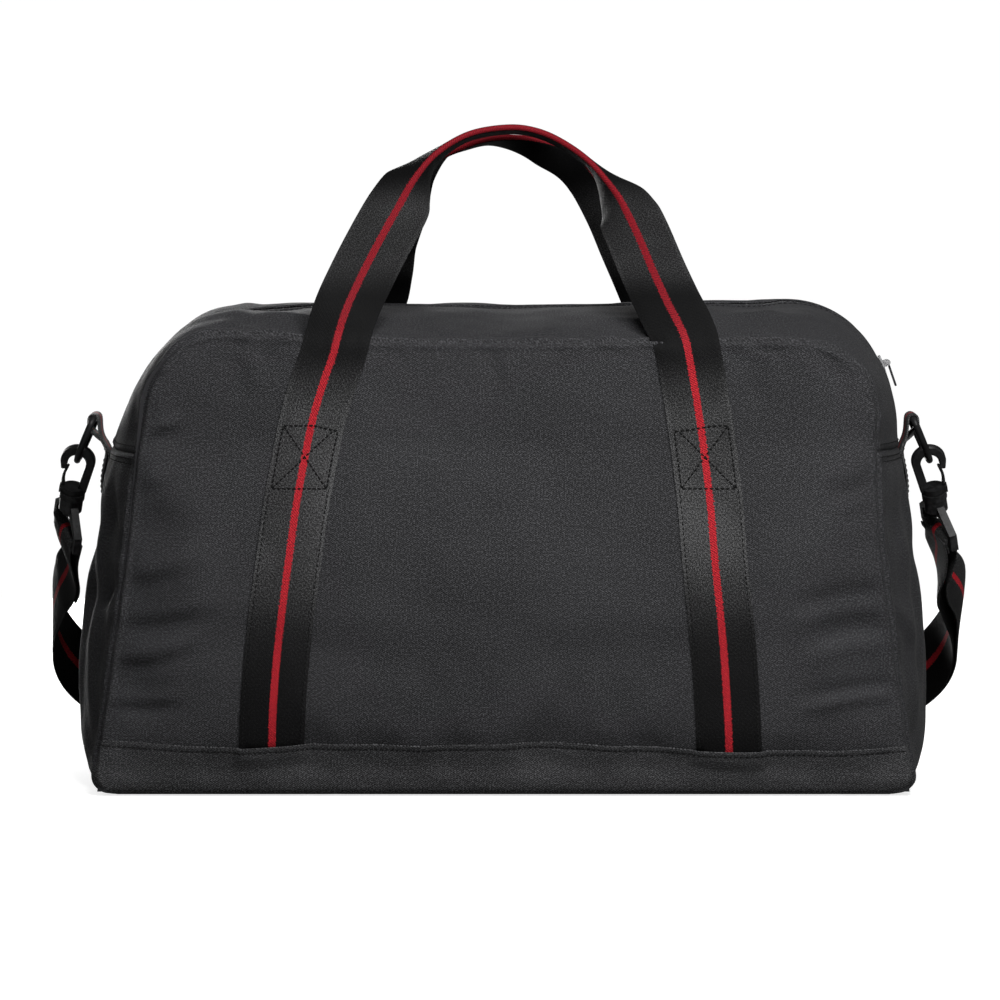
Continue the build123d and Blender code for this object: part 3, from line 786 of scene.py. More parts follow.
def outward(p):
    """Normals of a grid of points, turned away from the middle of the bag."""
    n = grid_normals(p)
    rows, cols = p.shape[:2]
    probe = p[rows // 2, cols // 2] - BAG_CENTRE
    return n if n[rows // 2, cols // 2] @ probe > 0 else -n


SEAM_POINTS = {end: SIDE.at(np.linspace(0, AROUND - 1, 900), col)
               for end, col in ((-1, 0), (1, DEPTH))}
STRAP_FOOT = {-1: -0.1350, 1: 0.1315}  # strap centres at the base band


def band_edge(x):
    """Height of the band's top edge, which waves a little along the bag."""
    return (BAND_TOP - 0.8 * MM + 3.2 * MM * hump(x + 0.235, 0.05)
            - 2.8 * MM * hump(x - 0.14, 0.06) + 0.5 * MM * np.sin(x * 55))


def over_strap(x):
    """One over the feet of the stitched straps, and none beside them."""
    lift = 0
    for foot in STRAP_FOOT.values():
        lift = np.maximum(lift, ease((WEB_HALF + 2.5 * MM - np.abs(x - foot)) / (3 * MM)))
    return lift


SKIN = {}  # outer surface of each finished fabric piece


BAND_HALF = 0.235
CALM_FOOT = 9 * MM  # the relief fades towards the floor below this


def cloth_piece(name, p, lift, uv, material, nodes, thick=CLOTH):
    """One sewn piece: the grid raised by its relief, as closed cloth."""
    out = outward(p)
    lift = lift * (0.2 + 0.8 * ease(p[..., 2] / CALM_FOOT))
    outer = p + out * lift[..., None]
    outer[..., 2] = np.maximum(outer[..., 2], 0)
    SKIN[name] = Surface(outer)
    piece = slab(name, outer, outward(outer), thick, uv)
    return finish_piece(piece, material, "root", nodes)


def make_panels():
    """Front and rear panels, and the base bands that are sewn over their feet."""
    across = dense_ends(0, COLUMNS, 210)
    edge = row_at(band_edge(np.interp(across, [0, COLUMNS], [-BAND_HALF, BAND_HALF])))
    for (end, label), grid, folds in zip(ENDS, (FRONT, REAR), (FRONT_FOLDS, REAR_FOLDS)):
        t = dense_ends(0, 1, 116)[:, None]
        p = grid.at((edge - 0.8) * (1 - t) + ROWS * t, across)
        gap = near(p, SEAM_POINTS[end])
        plane = p[..., [0, 2]]
        lift = (seam_relief(p, gap) + fold_height(plane, folds) * ease(gap / (14 * MM))
                + cloth_noise(p) * ease(gap / (10 * MM)))
        cloth_piece(f"{label}_panel_cloth", p, lift, plane, TWILL, [f"{label}_panel"])

        rows = edge * np.linspace(0, 1, 30)[:, None] ** 0.9
        p = grid.at(rows, across)
        gap = near(p, SEAM_POINTS[end])
        height, edge_height = (np.interp(r, np.arange(ROWS + 1), SEAM_HEIGHT) for r in (rows, edge))
        below = edge_height - height
        step = 1.1 * MM * np.exp(-below / (9 * MM)) + 0.3 * MM
        roll = 0.35 * MM * hump(below - 1.6 * MM, 1.5 * MM)
        pinch = -0.35 * MM * hump(below - 3.2 * MM, 0.8 * MM)
        straps = (WEB_THICK + 0.2 * MM) * over_strap(p[..., 0]) * ease((14 * MM - below) / (9 * MM))
        lift = (step + roll + pinch + straps) * ease(gap / (4 * MM)) + seam_relief(p, gap, 0.7 * MM)
        lift += 0.8 * (cloth_noise(p) + 0.3 * MM * murmur(p, 9 * MM)) * ease(gap / (10 * MM))
        cloth_piece(f"{label}_band_cloth", p, lift, p[..., [0, 2]], BASE_TWILL,
                    [f"{label}_base_band"])


def end_seam(gap):
    """The crease and the swell beside a seam across the end of a piece."""
    return 0.5 * MM * hump(gap - 3 * MM, 2 * MM) - 1.0 * MM * hump(gap, 1.0 * MM)


def make_gussets():
    """The gussets at both ends, with a flat seam over them."""
    cols = dense_ends(0, DEPTH, 104, 0.65)
    for hand, label in HANDS:
        rows = dense_ends(0, LOW_ROWS, 96, 0.5)
        if hand == 1:
            rows = AROUND - 1 - rows
        p = SIDE.at(rows[:, None], cols)
        gap = np.minimum(near(p, SEAM_POINTS[-1]), near(p, SEAM_POINTS[1]))
        plane = p[..., [1, 2]]
        lift = seam_relief(p, gap) + end_seam(near(p, p[-1]))
        lift += fold_height(plane * (hand, 1), GUSSET_FOLDS) * ease(gap / (9 * MM))
        lift += cloth_noise(p) * ease(gap / (10 * MM))
        cloth_piece(f"{label}_gusset_cloth", p, lift, plane, TWILL, [f"{label}_gusset"])


ZIP_EDGE = 9.5 * MM  # the top strips' folded edges stand this far out
TAPE_SINK = 1.5 * MM
TAPE_IN, TAPE_TUCK = 1.2 * MM, 4 * MM  # the tape's inner edge, and how far it goes under


def make_top():
    """Top strips, with their edges folded beside the zip, and the two zip tapes."""
    rows = dense_ends(LOW_ROWS, AROUND - 1 - LOW_ROWS, 330, 0.15)[:, None]
    for end, label in ENDS:
        cols = depth_column(end * dense_ends(ZIP_EDGE, SEAM_Y, 66, 0.65))
        p = SIDE.at(rows, cols)
        along = lengths(p[:, 0])[:, None]
        gap = near(p, SEAM_POINTS[end])
        edge = np.abs(p[..., 1]) - ZIP_EDGE
        plane = np.stack([p[..., 0], -np.abs(p[..., 1])], axis=-1)
        lift = seam_relief(p, gap) + end_seam(np.minimum(near(p, p[0]), near(p, p[-1])))
        lift += fold_height(plane, TOP_FOLDS) * ease(gap / (8 * MM)) * ease(edge / (12 * MM))
        lift += cloth_noise(p) * ease(gap / (10 * MM)) * ease(edge / (10 * MM))
        lift += 0.5 * MM * hump(edge - 1.2 * MM, 1.2 * MM)
        lift -= 0.6 * MM * hump(edge, 0.5 * MM) + 0.35 * MM * hump(edge - 3.2 * MM, 0.8 * MM)
        wide = SEAM_Y - ZIP_EDGE
        cloth_piece(f"{label}_top_cloth", p, lift, paired(along, p[..., 1]), TWILL,
                    [f"{label}_top_strip"])

        wide = ZIP_EDGE + TAPE_TUCK - TAPE_IN
        p = SIDE.at(rows, depth_column(end * np.linspace(TAPE_IN, TAPE_IN + wide, 12)))
        lift = np.full(p.shape[:2], -TAPE_SINK)
        cloth_piece(f"{label}_zip_tape_cloth", p, lift, paired(p[..., 1], along), TAPE,
                    [f"{label}_zip_tape"], 0.8 * MM)


def make_base():
    """The underside, pulled flat over the board."""
    p = BASE.at(np.linspace(0, COLUMNS, 90)[:, None], np.linspace(0, DEPTH, 46))
    p[..., 2] = np.maximum(p[..., 2], 0.0)
    down = np.zeros_like(p)
    down[..., 2] = -1
    lift = -0.1 * MM - 0.25 * MM * (murmur(p, 30 * MM) + 1.8) / 2
    piece = slab("bottom_cloth", p + down * lift[..., None], down, CLOTH, p[..., :2])
    finish_piece(piece, BASE_TWILL, "root", ["bottom_panel"])


make_panels()
make_gussets()
make_top()
make_base()

# ---- Stitches -------------------------------------------------------------------------
# Along a thread of length one: its rings, how thick each is, and how high it lies.
RINGS = np.array([-0.5, -0.3, 0.0, 0.3, 0.5])
SWELL = np.array([0.35, 0.85, 1.0, 0.85, 0.35])
ARCH = np.array([-0.7, 0.1, 0.4, 0.1, -0.7])
SIDES = 6  # of each ring


def beads(points, along, out, long, wide, high=None):
    """Vertices and faces of rounded threads: middles, directions, and their sizes."""
    high = wide if high is None else high
    side = unit(np.cross(along, out))
    up = np.cross(side, along)
    turn = np.linspace(0, 2 * math.pi, SIDES, endpoint=False)
    ring = RINGS[:, None, None]
    swell, arch = SWELL[:, None, None], ARCH[:, None, None]
    p, a, b, u = (x[:, None, None, :] for x in (points, along, side, up))
    verts = (p + a * ring * long + b * (wide * swell * np.cos(turn)[None, :, None])
             + u * (high * (swell * np.sin(turn)[None, :, None] + arch)))
    each = len(RINGS) * SIDES
    tube = grid_faces(len(RINGS), SIDES, wrap=True)
    caps = [list(range(SIDES))[::-1], list(range(each - SIDES, each))]
    faces = []
    for k in range(len(points)):
        faces += (tube + k * each).tolist()
        faces += [[n + k * each for n in cap] for cap in caps]
    return verts.reshape(-1, 3), faces


def surface_run(surface, rows, cols, step=0.35):
    """Points and normals along a line on a surface, given by rows and columns."""
    return surface.at(rows, cols), unit(np.cross(
        surface.at(rows, cols + step) - surface.at(rows, cols - step),
        surface.at(rows + step, cols) - surface.at(rows - step, cols)))


def faced(normals, points, away=None):
    """Normals turned to point along away, or away from the middle of the bag."""
    probe = points - BAG_CENTRE if away is None else away
    return normals * np.sign((normals * probe).sum(1, keepdims=True))


def stitches(name, runs, material=BLACK_THREAD, pitch=3.1 * MM, long=2.4 * MM, wide=THREAD,
             away=None):
    """Sewn lines: each run is a line of points and normals on a finished surface."""
    all_verts, all_faces, count = [], [], 0
    for p, n in runs:
        s = lengths(p)
        number = max(1, int(s[-1] / pitch))
        t = (np.arange(number) + 0.5) * s[-1] / number
        middle = read_along(t, s, p)
        along = unit(read_along(t + pitch / 3, s, p) - read_along(t - pitch / 3, s, p))
        normal = faced(unit(read_along(t, s, n)), middle, away)
        verts, faces = beads(middle, along, normal, long, wide)
        all_faces += [[v + count for v in face] for face in faces]
        all_verts.append(verts)
        count += len(verts)
    finish_piece(mesh_object(name, np.vstack(all_verts), all_faces), material, "root")


def inset_line(name, distance, axis=0, from_end=False, count=600, margin=4.0):
    """A line along a finished piece, a distance in from one of its edges: a row for axis 0,
    a column for axis 1. It ends margin rows or columns short of the other edges."""
    surface = SKIN[name]
    shape = surface.grid.shape[:2]
    s = lengths(np.moveaxis(surface.grid, axis, 0)[:, shape[1 - axis] // 2])
    index = np.interp(s[-1] - distance if from_end else distance, s, np.arange(len(s)))
    run = np.linspace(margin, shape[1 - axis] - 1 - margin, count)
    return surface_run(surface, *((run, index) if axis else (index, run)))


def sew_body():
    """Topstitching beside the seams of the body."""
    for _, label in ENDS:
        band, top = f"{label}_band_cloth", f"{label}_top_cloth"
        stitches(f"{label}_band_stitching",
                 [inset_line(band, 3.2 * MM, 0, True), inset_line(band, 9 * MM)])
        stitches(f"{label}_top_stitching",
                 [inset_line(top, 3.2 * MM, 1, count=900), inset_line(top, 4.5 * MM),
                  inset_line(top, 4.5 * MM, 0, True)])
    for _, label in HANDS:
        stitches(f"{label}_gusset_stitching",
                 [inset_line(f"{label}_gusset_cloth", d, 0, True) for d in (4 * MM, 6.6 * MM)])


sew_body()

# ---- Zip: two rows of coil teeth, and their sewing ------------------------------------
COIL_PITCH = 1.25 * MM


def make_zip():
    """Coil teeth along the crown, each row sewn to its tape."""
    rows = np.linspace(LOW_ROWS + 0.1, AROUND - 1.1 - LOW_ROWS, 1500)

    def crown_line(y, rise):
        """Points and normals along the crown at y, a rise above the sunken tapes."""
        p, n = surface_run(SIDE, rows, depth_column(y))
        n = faced(n, p)
        return p - n * (TAPE_SINK - rise), n

    for end, label in ENDS:
        p, n = crown_line(end * 1.35 * MM, 0.45 * MM)
        s = lengths(p)
        t = (np.arange(int(s[-1] / COIL_PITCH)) + 0.5 + 0.25 * end) * COIL_PITCH
        middle, normal = read_along(t, s, p), unit(read_along(t, s, n))
        across = np.array((0, 1.0, 0))
        across = unit(across - normal * (across * normal).sum(1, keepdims=True))
        teeth = mesh_object(f"{label}_coil_teeth",
                            *beads(middle, across, normal, 3.1 * MM, 0.5 * MM, 0.62 * MM))
        finish_piece(teeth, COIL, "root", [f"{label}_zip_teeth"])
        for kind, y, rise, pitch, long, wide in (("coil_sewing", 2.4, 0.9, 2.0, 1.7, 0.22),
                                                 ("tape_rib", 5.6, 0.1, 1.5, 1.4, 0.16)):
            stitches(f"{label}_{kind}", [crown_line(end * y * MM, rise * MM)], GREY_THREAD,
                     pitch * MM, long * MM, wide * MM)


make_zip()

# ---- Webbing ---------------------------------------------------------------------------
def webbing_piece(name, mid, out, across, along, body, nodes=()):
    """Flat webbing from the grid of its middle, thinner at its two edges."""
    share = np.abs(across / WEB_HALF)
    shape = (1 - 0.5 * share ** 10)[None, :, None] * WEB_THICK / 2
    outer, inner = mid + out * shape, mid - out * shape
    SKIN[name] = Surface(outer)
    uv = np.stack(np.broadcast_arrays(across[None], along[:, None]), axis=-1)
    piece = closed_grid(name, outer, inner, uv)
    return finish_piece(piece, WEBBING, body, nodes)


def skin_tree(*names):
    """A search tree over the outer surfaces of finished pieces."""
    verts, faces, count = [], [], 0
    for name in names:
        grid = SKIN[name].grid
        verts += grid.reshape(-1, 3).tolist()
        faces += grid_faces(*grid.shape[:2], count).tolist()
        count += grid.shape[0] * grid.shape[1]
    return BVHTree.FromPolygons(verts, faces)


def blurred(values, times, axis=0):
    """Numbers averaged with their neighbours, the first and last kept."""
    v = np.moveaxis(values.copy(), axis, 0)
    for _ in range(times):
        v[1:-1] = 0.25 * v[:-2] + 0.5 * v[1:-1] + 0.25 * v[2:]
    return np.moveaxis(v, 0, axis)


def cast(tree, start, direction):
    """Where a ray first meets the surfaces in a search tree, or None."""
    return tree.ray_cast(Vector(start), Vector(direction))[0]


FAR = 0.4  # rays start this far out, clear of the bag
BELT_S = np.linspace(-1, 1, 27)  # columns across the belts, closest in the middle
BELT_S = np.sign(BELT_S) * np.abs(BELT_S) ** 1.3 * WEB_HALF
FOLD_RADIUS = 1.9 * MM  # of the handles' fold, inside
FOLD_MOST = math.radians(88)  # turn of each half when fully folded

# The belt's middle line in millimetres. On the panels, left then right: across and up.
BELT_LOW = (((-135.2, 23), (-133.7, 56), (-130.7, 91), (-124.8, 138), (-119.9, 173),
             (-111.8, 216)),
            ((114.7, 216), (120, 173), (122.8, 138), (127.5, 91), (130, 56), (131.6, 23)))
# The free handle: place of the fold's ridge, share of the fold, and turn of the ridge.
BELT_HIGH = {
    "front": (
        (-104.2, -121.8, 242.7, 0.02, 0), (-99.5, -121.5, 256, 0.02, 0),
        (-92.5, -118, 281, 0.03, 0), (-83.6, -105, 301.4, 0.04, 0), (-72.6, -83, 323.2, 0.06, 0),
        (-61.7, -64, 342.9, 0.12, 0), (-52.5, -47, 359, 0.38, 0), (-39.3, -31, 374.3, 0.85, 4),
        (-20.3, -22, 385.4, 1, 8), (2, -20.5, 389.3, 1, 8), (19, -21, 387.5, 1, 8),
        (35, -25, 380.7, 1, 8), (51.8, -37, 368.4, 0.92, 4), (66.4, -52, 350.8, 0.45, 0),
        (73.5, -64, 338, 0.14, 0), (80, -78, 324, 0.06, 0), (87.8, -97, 305, 0.04, 0),
        (96, -111, 287, 0.03, 0), (104.5, -119, 270, 0.02, 0), (108, -121.5, 256, 0.02, 0)),
    "rear": (
        (-104, 121.8, 244, 0.02, 0), (-92, 121.2, 262, 0.02, 0), (-79, 114, 282, 0.03, 0),
        (-74.5, 96, 300, 0.04, 0), (-71.5, 74, 319, 0.1, 0), (-64, 52, 337, 0.35, 0),
        (-54.5, 31, 354.5, 0.75, 0), (-39.5, 15, 369.5, 1, 0), (-24.5, 7.5, 377.4, 1, 4),
        (-8, 4, 382.6, 1, 10), (12, 4, 383.4, 1, 30), (30, 7.5, 380, 1, 60),
        (45, 18, 372, 0.95, 70), (57, 34, 358.5, 0.7, 50), (68, 54, 339, 0.3, 20),
        (77, 76, 318, 0.08, 0), (85, 96, 300, 0.04, 0), (93, 112, 281, 0.03, 0),
        (101, 120.5, 262, 0.02, 0), (108, 121.8, 243, 0.02, 0)),
}


def fold_section(s, fold):
    """Webbing folded along its middle: across, outward, and the angle of its face."""
    angle = fold[:, None] * FOLD_MOST
    turn = np.clip(s[None] / FOLD_RADIUS, -angle, angle)
    rest = s[None] - turn * FOLD_RADIUS
    x = FOLD_RADIUS * np.sin(turn) + rest * np.cos(turn)
    r = FOLD_RADIUS * (np.cos(turn) - 1) - rest * np.sin(turn)
    return x, r, turn


PANEL_REACH, BESIDE_REACH = 0.275, 0.30  # heights up to which the belts feel the panel


def lie_on_panel(mid, centre, end, tree):
    """Depths of the belt's middle grid, moved out to lie on the panel where it is sewn."""
    hit = np.full(mid.shape[:2], np.nan)
    for i in np.nonzero(centre[:, 2] < PANEL_REACH)[0]:
        for j, (x, _, z) in enumerate(mid[i]):
            spot = cast(tree, (x, end * FAR, z), (0, -end, 0))
            if spot is not None:
                hit[i, j] = abs(spot.y)
    known = ~np.isnan(hit)
    level = np.where(known, hit, SEAM_Y - 6 * MM)
    even = blurred(blurred(level, 8, 0), 6, 1)
    rest_on = np.maximum(even, level + 0.1 * MM) + WEB_THICK / 2 + 0.15 * MM
    sewn = ease((PATCH_TOP + 8 * MM - mid[..., 2]) / (12 * MM))
    depth = np.abs(mid[..., 1])
    lying = np.where(known, np.maximum(depth * (1 - sewn) + rest_on * sewn, rest_on), depth)
    beside = (centre[:, 2] < BESIDE_REACH)[:, None] & (depth > 0.1)
    return np.where(beside, end * blurred(lying, 4, 0), mid[..., 1])


def make_belt(end, label):
    """One belt: stitched to the panel, up into the handle, and down to the panel again."""
    face = end * (SEAM_Y + PANEL_OUT + 1.3 * MM)
    left, right = ([(x * MM, face, z * MM, 0, 0) for x, z in side] for side in BELT_LOW)
    free = [(x * MM, y * MM, z * MM, fold, turn) for x, y, z, fold, turn in BELT_HIGH[label]]
    line = smooth_path(left + free + right, 2.5 * MM)
    centre, fold = line[:, :3], np.clip(blurred(line[:, 3], 3), 0, 1)
    roll = np.radians(blurred(line[:, 4], 3))[:, None]
    along = unit(np.gradient(centre, axis=0))
    across = unit(np.cross((0, 1, 0), along))
    out = np.cross(across, along)
    across, out = (np.cos(roll) * across + np.sin(roll) * out,
                   np.cos(roll) * out - np.sin(roll) * across)
    x, r, turn = (part[..., None] for part in fold_section(BELT_S, fold))
    mid = centre[:, None] + across[:, None] * x + out[:, None] * r
    mid -= (out[:, None] * np.cos(turn) + across[:, None] * np.sin(turn)) * WEB_THICK / 2
    mid[..., 1] = lie_on_panel(mid, centre, end, skin_tree(f"{label}_panel_cloth"))
    normal = grid_normals(mid)
    if normal[len(mid) // 2, len(BELT_S) // 2] @ out[len(mid) // 2] < 0:
        normal = -normal
    v = lengths(centre)
    first, last = np.nonzero(centre[:, 2] > PATCH_TOP - 3.5 * MM)[0][[0, -1]]
    for name, rows in ((f"{label}_strap_left", slice(0, first + 1)),
                       (f"{label}_handle", slice(first, last + 1)),
                       (f"{label}_strap_right", slice(last, None))):
        loose = name.endswith("handle")
        webbing_piece(f"{name}_webbing", mid[rows], normal[rows], BELT_S, v[rows],
                      None if loose else "root", [name])


BOX_LOW, BOX_HIGH = 0.1800, PATCH_TOP - 1.5 * MM
BOX_HALF, EDGE_LINE = 15.8 * MM, 17.0 * MM  # out from the strap's middle line
EDGE_LOW = 0.024


def sew_strap(name, away):
    """Edge stitching along a stitched strap, and the box with its X at the top."""
    surface = SKIN[f"{name}_webbing"]
    count = len(surface.grid)

    def sewn_line(s, height):
        s, height = np.broadcast_arrays(np.asarray(s, float), np.asarray(height, float))
        cols = np.interp(s, BELT_S, np.arange(len(BELT_S)))
        rows = np.zeros(len(cols))
        for k, col in enumerate(cols):
            z = surface.at(np.arange(count), col)[:, 2]
            order = np.argsort(z)
            rows[k] = np.interp(height[k], z[order], order)
        return surface_run(surface, rows, cols)

    edges, runs = [], []
    tall = np.linspace(BOX_LOW, BOX_HIGH, 30)
    wide = np.linspace(-BOX_HALF, BOX_HALF, 24)
    for side in (-1, 1):
        edges.append(sewn_line(side * EDGE_LINE, np.linspace(EDGE_LOW, BOX_LOW, 90)))
        runs.append(sewn_line(side * BOX_HALF, tall))
        runs.append(sewn_line(side * np.linspace(-BOX_HALF, BOX_HALF, 30), tall))
    for height in (BOX_LOW, BOX_HIGH):
        runs.append(sewn_line(wide, height))
    stitches(f"{name}_stitching", edges, away=away, wide=0.34 * MM)
    stitches(f"{name}_box_stitching", runs, away=away, pitch=2.9 * MM, long=2.7 * MM,
             wide=0.5 * MM)


for end, label in ENDS:
    make_belt(end, label)
    for _, hand in HANDS:
        sew_strap(f"{label}_strap_{hand}", (0, end, 0))
    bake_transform(bpy.data.objects[f"{label}_handle_webbing"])

# ---- Webbing down the gussets, looped round the D-rings --------------------------------
STRAP_S = np.linspace(-1, 1, 15) * WEB_HALF  # columns across these straps
RING_BAR = (0.245, 0.215)  # the D's straight bar, out from the centre and up
RING_WIRE = 2.0 * MM
STRAP_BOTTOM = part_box("left_end_strap")[0].z
LOOP_FOOT = 0.203  # where the two layers part to go round the bar
LOOP_HEM = 0.160  # above it the outer layer lies on the inner one
UNDER_LAYER = (LOOP_FOOT + 2 * MM, LOOP_FOOT - 8 * MM, 0.186, 0.172)
GUSSET_X = 0.240  # taken where a ray meets nothing
END_EDGE_LINE = 16.8 * MM
STRAP_MID = len(STRAP_S) // 2


def make_end_strap(hand, label):
    """Webbing up the gusset's middle, over the ring's bar and back down behind itself."""
    tree = skin_tree(f"{label}_gusset_cloth", "front_top_cloth", "rear_top_cloth")

    def skin_x(y, z):
        spot = cast(tree, (hand * FAR, y, z), (-hand, 0, 0))
        return abs(spot.x) if spot is not None else GUSSET_X

    def row(x, z):
        return np.stack(np.broadcast_arrays(x, STRAP_S, z), axis=-1)

    lift = WEB_THICK / 2 + 0.25 * MM
    layer = WEB_THICK + 0.2 * MM
    heights = np.arange(STRAP_BOTTOM, LOOP_FOOT, 3 * MM)
    rows = [row(np.array([skin_x(y, z) for y in STRAP_S]) + lift
                + layer * ease((z - LOOP_HEM) / 0.016), z) for z in heights]
    start = len(rows)
    wrap = RING_WIRE + 0.3 * MM + WEB_THICK / 2
    bar_x, bar_z = RING_BAR
    middle = rows[-1].mean(0)
    over = [(middle[0], middle[2]), (bar_x + wrap - 0.6 * MM, bar_z - 6 * MM)]
    over += [(bar_x + wrap * math.cos(a), bar_z + wrap * math.sin(a))
             for a in np.radians(np.arange(-20, 200, 15))]
    over += [(skin_x(0, z) + lift, z) for z in UNDER_LAYER]
    rows += [row(x, z) for x, _, z in smooth_path([(x, 0, z) for x, z in over], 1.2 * MM)[1:]]
    mid = blurred(blurred(np.array(rows), 3, 0), 3, 1)
    mid[..., 1] = STRAP_S
    mid[..., 0] *= hand
    normal = grid_normals(mid)
    if normal[start // 2, STRAP_MID, 0] * hand < 0:
        normal = -normal
    name = f"{label}_end_webbing"
    webbing_piece(name, mid, normal, STRAP_S, lengths(mid[:, STRAP_MID]), "root",
                  [f"{label}_end_strap"])
    cols = np.interp((-END_EDGE_LINE, END_EDGE_LINE), STRAP_S, np.arange(len(STRAP_S)))
    runs = [surface_run(SKIN[name], np.linspace(1, start - 4, 200), col) for col in cols]
    runs += [surface_run(SKIN[name], np.interp(z, heights, np.arange(start)),
                         np.linspace(*cols, 40)) for z in (0.170, LOOP_FOOT - 6 * MM)]
    stitches(f"{label}_end_stitching", runs, away=(hand, 0, 0))


for hand, label in HANDS:
    make_end_strap(hand, label)

# ---- Clips and the shoulder strap ------------------------------------------------------
BOW_DROP = 27.5 * MM  # from the ring's bar to the middle of its bow
RING_SLANT = math.radians(23)
HOOK_REACH = 26.3 * MM  # from the bow to the foot of the hook's collar
CLIP_LEAN, CLIP_TILT = math.radians(10), math.radians(26)
BASE_SWIVEL = {"left": math.radians(22), "right": math.radians(-15)}
BAR_DROP = 23 * MM  # from the collar's foot to the strap's bar
BAR_WRAP = 2.2 * MM + 0.3 * MM + WEB_THICK / 2


def clip_frame(hand, label):
    """Foot of the collar, and the clip's own axis, outward, sideways and bar directions."""
    bow = np.array((hand * (RING_BAR[0] + BOW_DROP * math.sin(RING_SLANT)), 0,
                    RING_BAR[1] - BOW_DROP * math.cos(RING_SLANT)))
    axis = np.array((-hand * math.sin(CLIP_LEAN) * math.cos(CLIP_TILT), -math.sin(CLIP_TILT),
                     math.cos(CLIP_LEAN) * math.cos(CLIP_TILT)))
    foot = bow - axis * HOOK_REACH
    side = unit(np.array((0, 1.0, 0)) - axis * axis[1])
    outward_axis = np.cross(side, axis) * hand
    swivel = BASE_SWIVEL[label]
    bar = side * math.cos(swivel) + outward_axis * math.sin(swivel)
    return foot, axis, outward_axis, side, bar


# Middle of the webbing on one side: out from the centre, towards the rear, and up.
SIDE_ROUTE = ((0.263, 0.036, 0.124), (0.270, 0.052, 0.110), (0.275, 0.072, 0.094),
              (0.274, 0.090, 0.078), (0.267, 0.106, 0.062), (0.255, 0.1185, 0.049),
              (0.238, 0.1265, 0.038), (0.216, 0.1285, 0.030), (0.195, 0.129, 0.027))
BACK_ROUTE = (0.12, 0.129, 0.0262)  # on both sides of the adjuster
ADJUSTER = (0.040, 0.1307, 0.027)
LAYER = WEB_THICK + 0.35 * MM
ROOM = WEB_THICK / 2 + 0.4 * MM  # from the bag to the middle of the strap


def strap_route(hand, label):
    """Middle line and directions of the strap, from the clip's bar to the adjuster."""
    foot, axis, _, _, bar = clip_frame(hand, label)
    start = foot - axis * BAR_DROP
    points = [start, start - axis * 9 * MM]
    points += [(hand * x, y, z) for x, y, z in (*SIDE_ROUTE, BACK_ROUTE)]
    line = smooth_path(points + [ADJUSTER], 3 * MM)
    along = unit(np.gradient(line, axis=0))
    s = lengths(line)
    upright = unit(np.array((0, 0, 1.0)) - along * along[:, 2:])
    turn = ease(s / (55 * MM))[:, None]
    lead = bar if bar @ upright[0] > 0 else -bar
    across = unit(lead * (1 - turn) + upright * turn)
    across = unit(across - along * (across * along).sum(1, keepdims=True))
    out = np.cross(across, along) * -hand
    return line, across, out, s


BEHIND = skin_tree("rear_panel_cloth", "rear_band_cloth", "rear_strap_left_webbing",
                   "rear_strap_right_webbing", "left_gusset_cloth", "right_gusset_cloth")


BEHIND_FROM = 0.09  # depth from which the bag's rear can be in the way


def laid_behind(mid, room):
    """The strap's rows moved back, each as a whole, until they clear the bag's rear."""
    push = np.zeros(len(mid))
    for i, row in enumerate(mid):
        for x, y, z in row:
            spot = cast(BEHIND, (x, FAR, z), (0, -1, 0)) if y > BEHIND_FROM else None
            if spot is not None:
                push[i] = max(push[i], spot.y + room - y)
    most = np.array([push[max(0, i - 3):i + 4].max() for i in range(len(push))])
    return mid + blurred(most, 4)[:, None, None] * np.array((0, 1.0, 0))


def strap_layer(name, route, shift, rows, room=ROOM, nodes=()):
    """One layer of the strap: its middle line moved outward by shift."""
    line, across, out = (x[:rows] for x in route[:3])
    mid_line = line + out * shift[:rows, None]
    cup = 1.0 * MM * (STRAP_S / WEB_HALF) ** 2
    mid = mid_line[:, None] + across[:, None] * STRAP_S[:, None]
    mid = laid_behind(mid - out[:, None] * cup[:, None], room)
    webbing_piece(name, mid, grid_normals(mid), STRAP_S, lengths(mid_line), None, nodes)


def bar_loop(hand, label, route):
    """The strap's end, wrapped round the clip's bar."""
    foot, axis, _, _, bar = clip_frame(hand, label)
    _, across, out, _ = (x[0] for x in route)
    lead = bar if bar @ across > 0 else -bar
    t = np.radians(np.linspace(-35, 215, 34))[:, None]
    line = foot - axis * BAR_DROP + BAR_WRAP * (np.cos(t) * out + np.sin(t) * axis)
    line = np.vstack([line[0] - axis * 4 * MM - out * 0.2 * MM, line,
                      line[-1] - axis * 4 * MM + out * 0.2 * MM])
    mid = line[:, None] + lead * STRAP_S[:, None]
    webbing_piece(f"{label}_strap_loop", mid, grid_normals(mid), STRAP_S, lengths(line),
                  f"{label}_clip", [f"{label}_strap_end"])


for hand, label in HANDS:
    route = strap_route(hand, label)
    line, *_, s = route
    bar_loop(hand, label, route)
    leave = 1 - ease(s / (26 * MM))
    spread = (BAR_WRAP + 0.1 * MM) * leave  # the two layers part to reach round the bar
    doubled = spread + LAYER * (1 - leave)
    if hand < 0:
        pieces = ("left_strap_run", "left_strap_tail")
        strap_layer(pieces[0], route, spread, len(s), nodes=["shoulder_strap"])
        strap_layer(pieces[1], route, -doubled, int(np.searchsorted(s, 42 * MM)))
    else:
        pieces = ("right_strap_run", "right_strap_return")
        slack = 6.5 * MM * hump(s - 52 * MM, 24 * MM)
        strap_layer(pieces[0], route, -spread, len(s))
        strap_layer(pieces[1], route, doubled + slack, len(s) - 2, ROOM + LAYER)
    for name in pieces:
        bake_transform(bpy.data.objects[name])


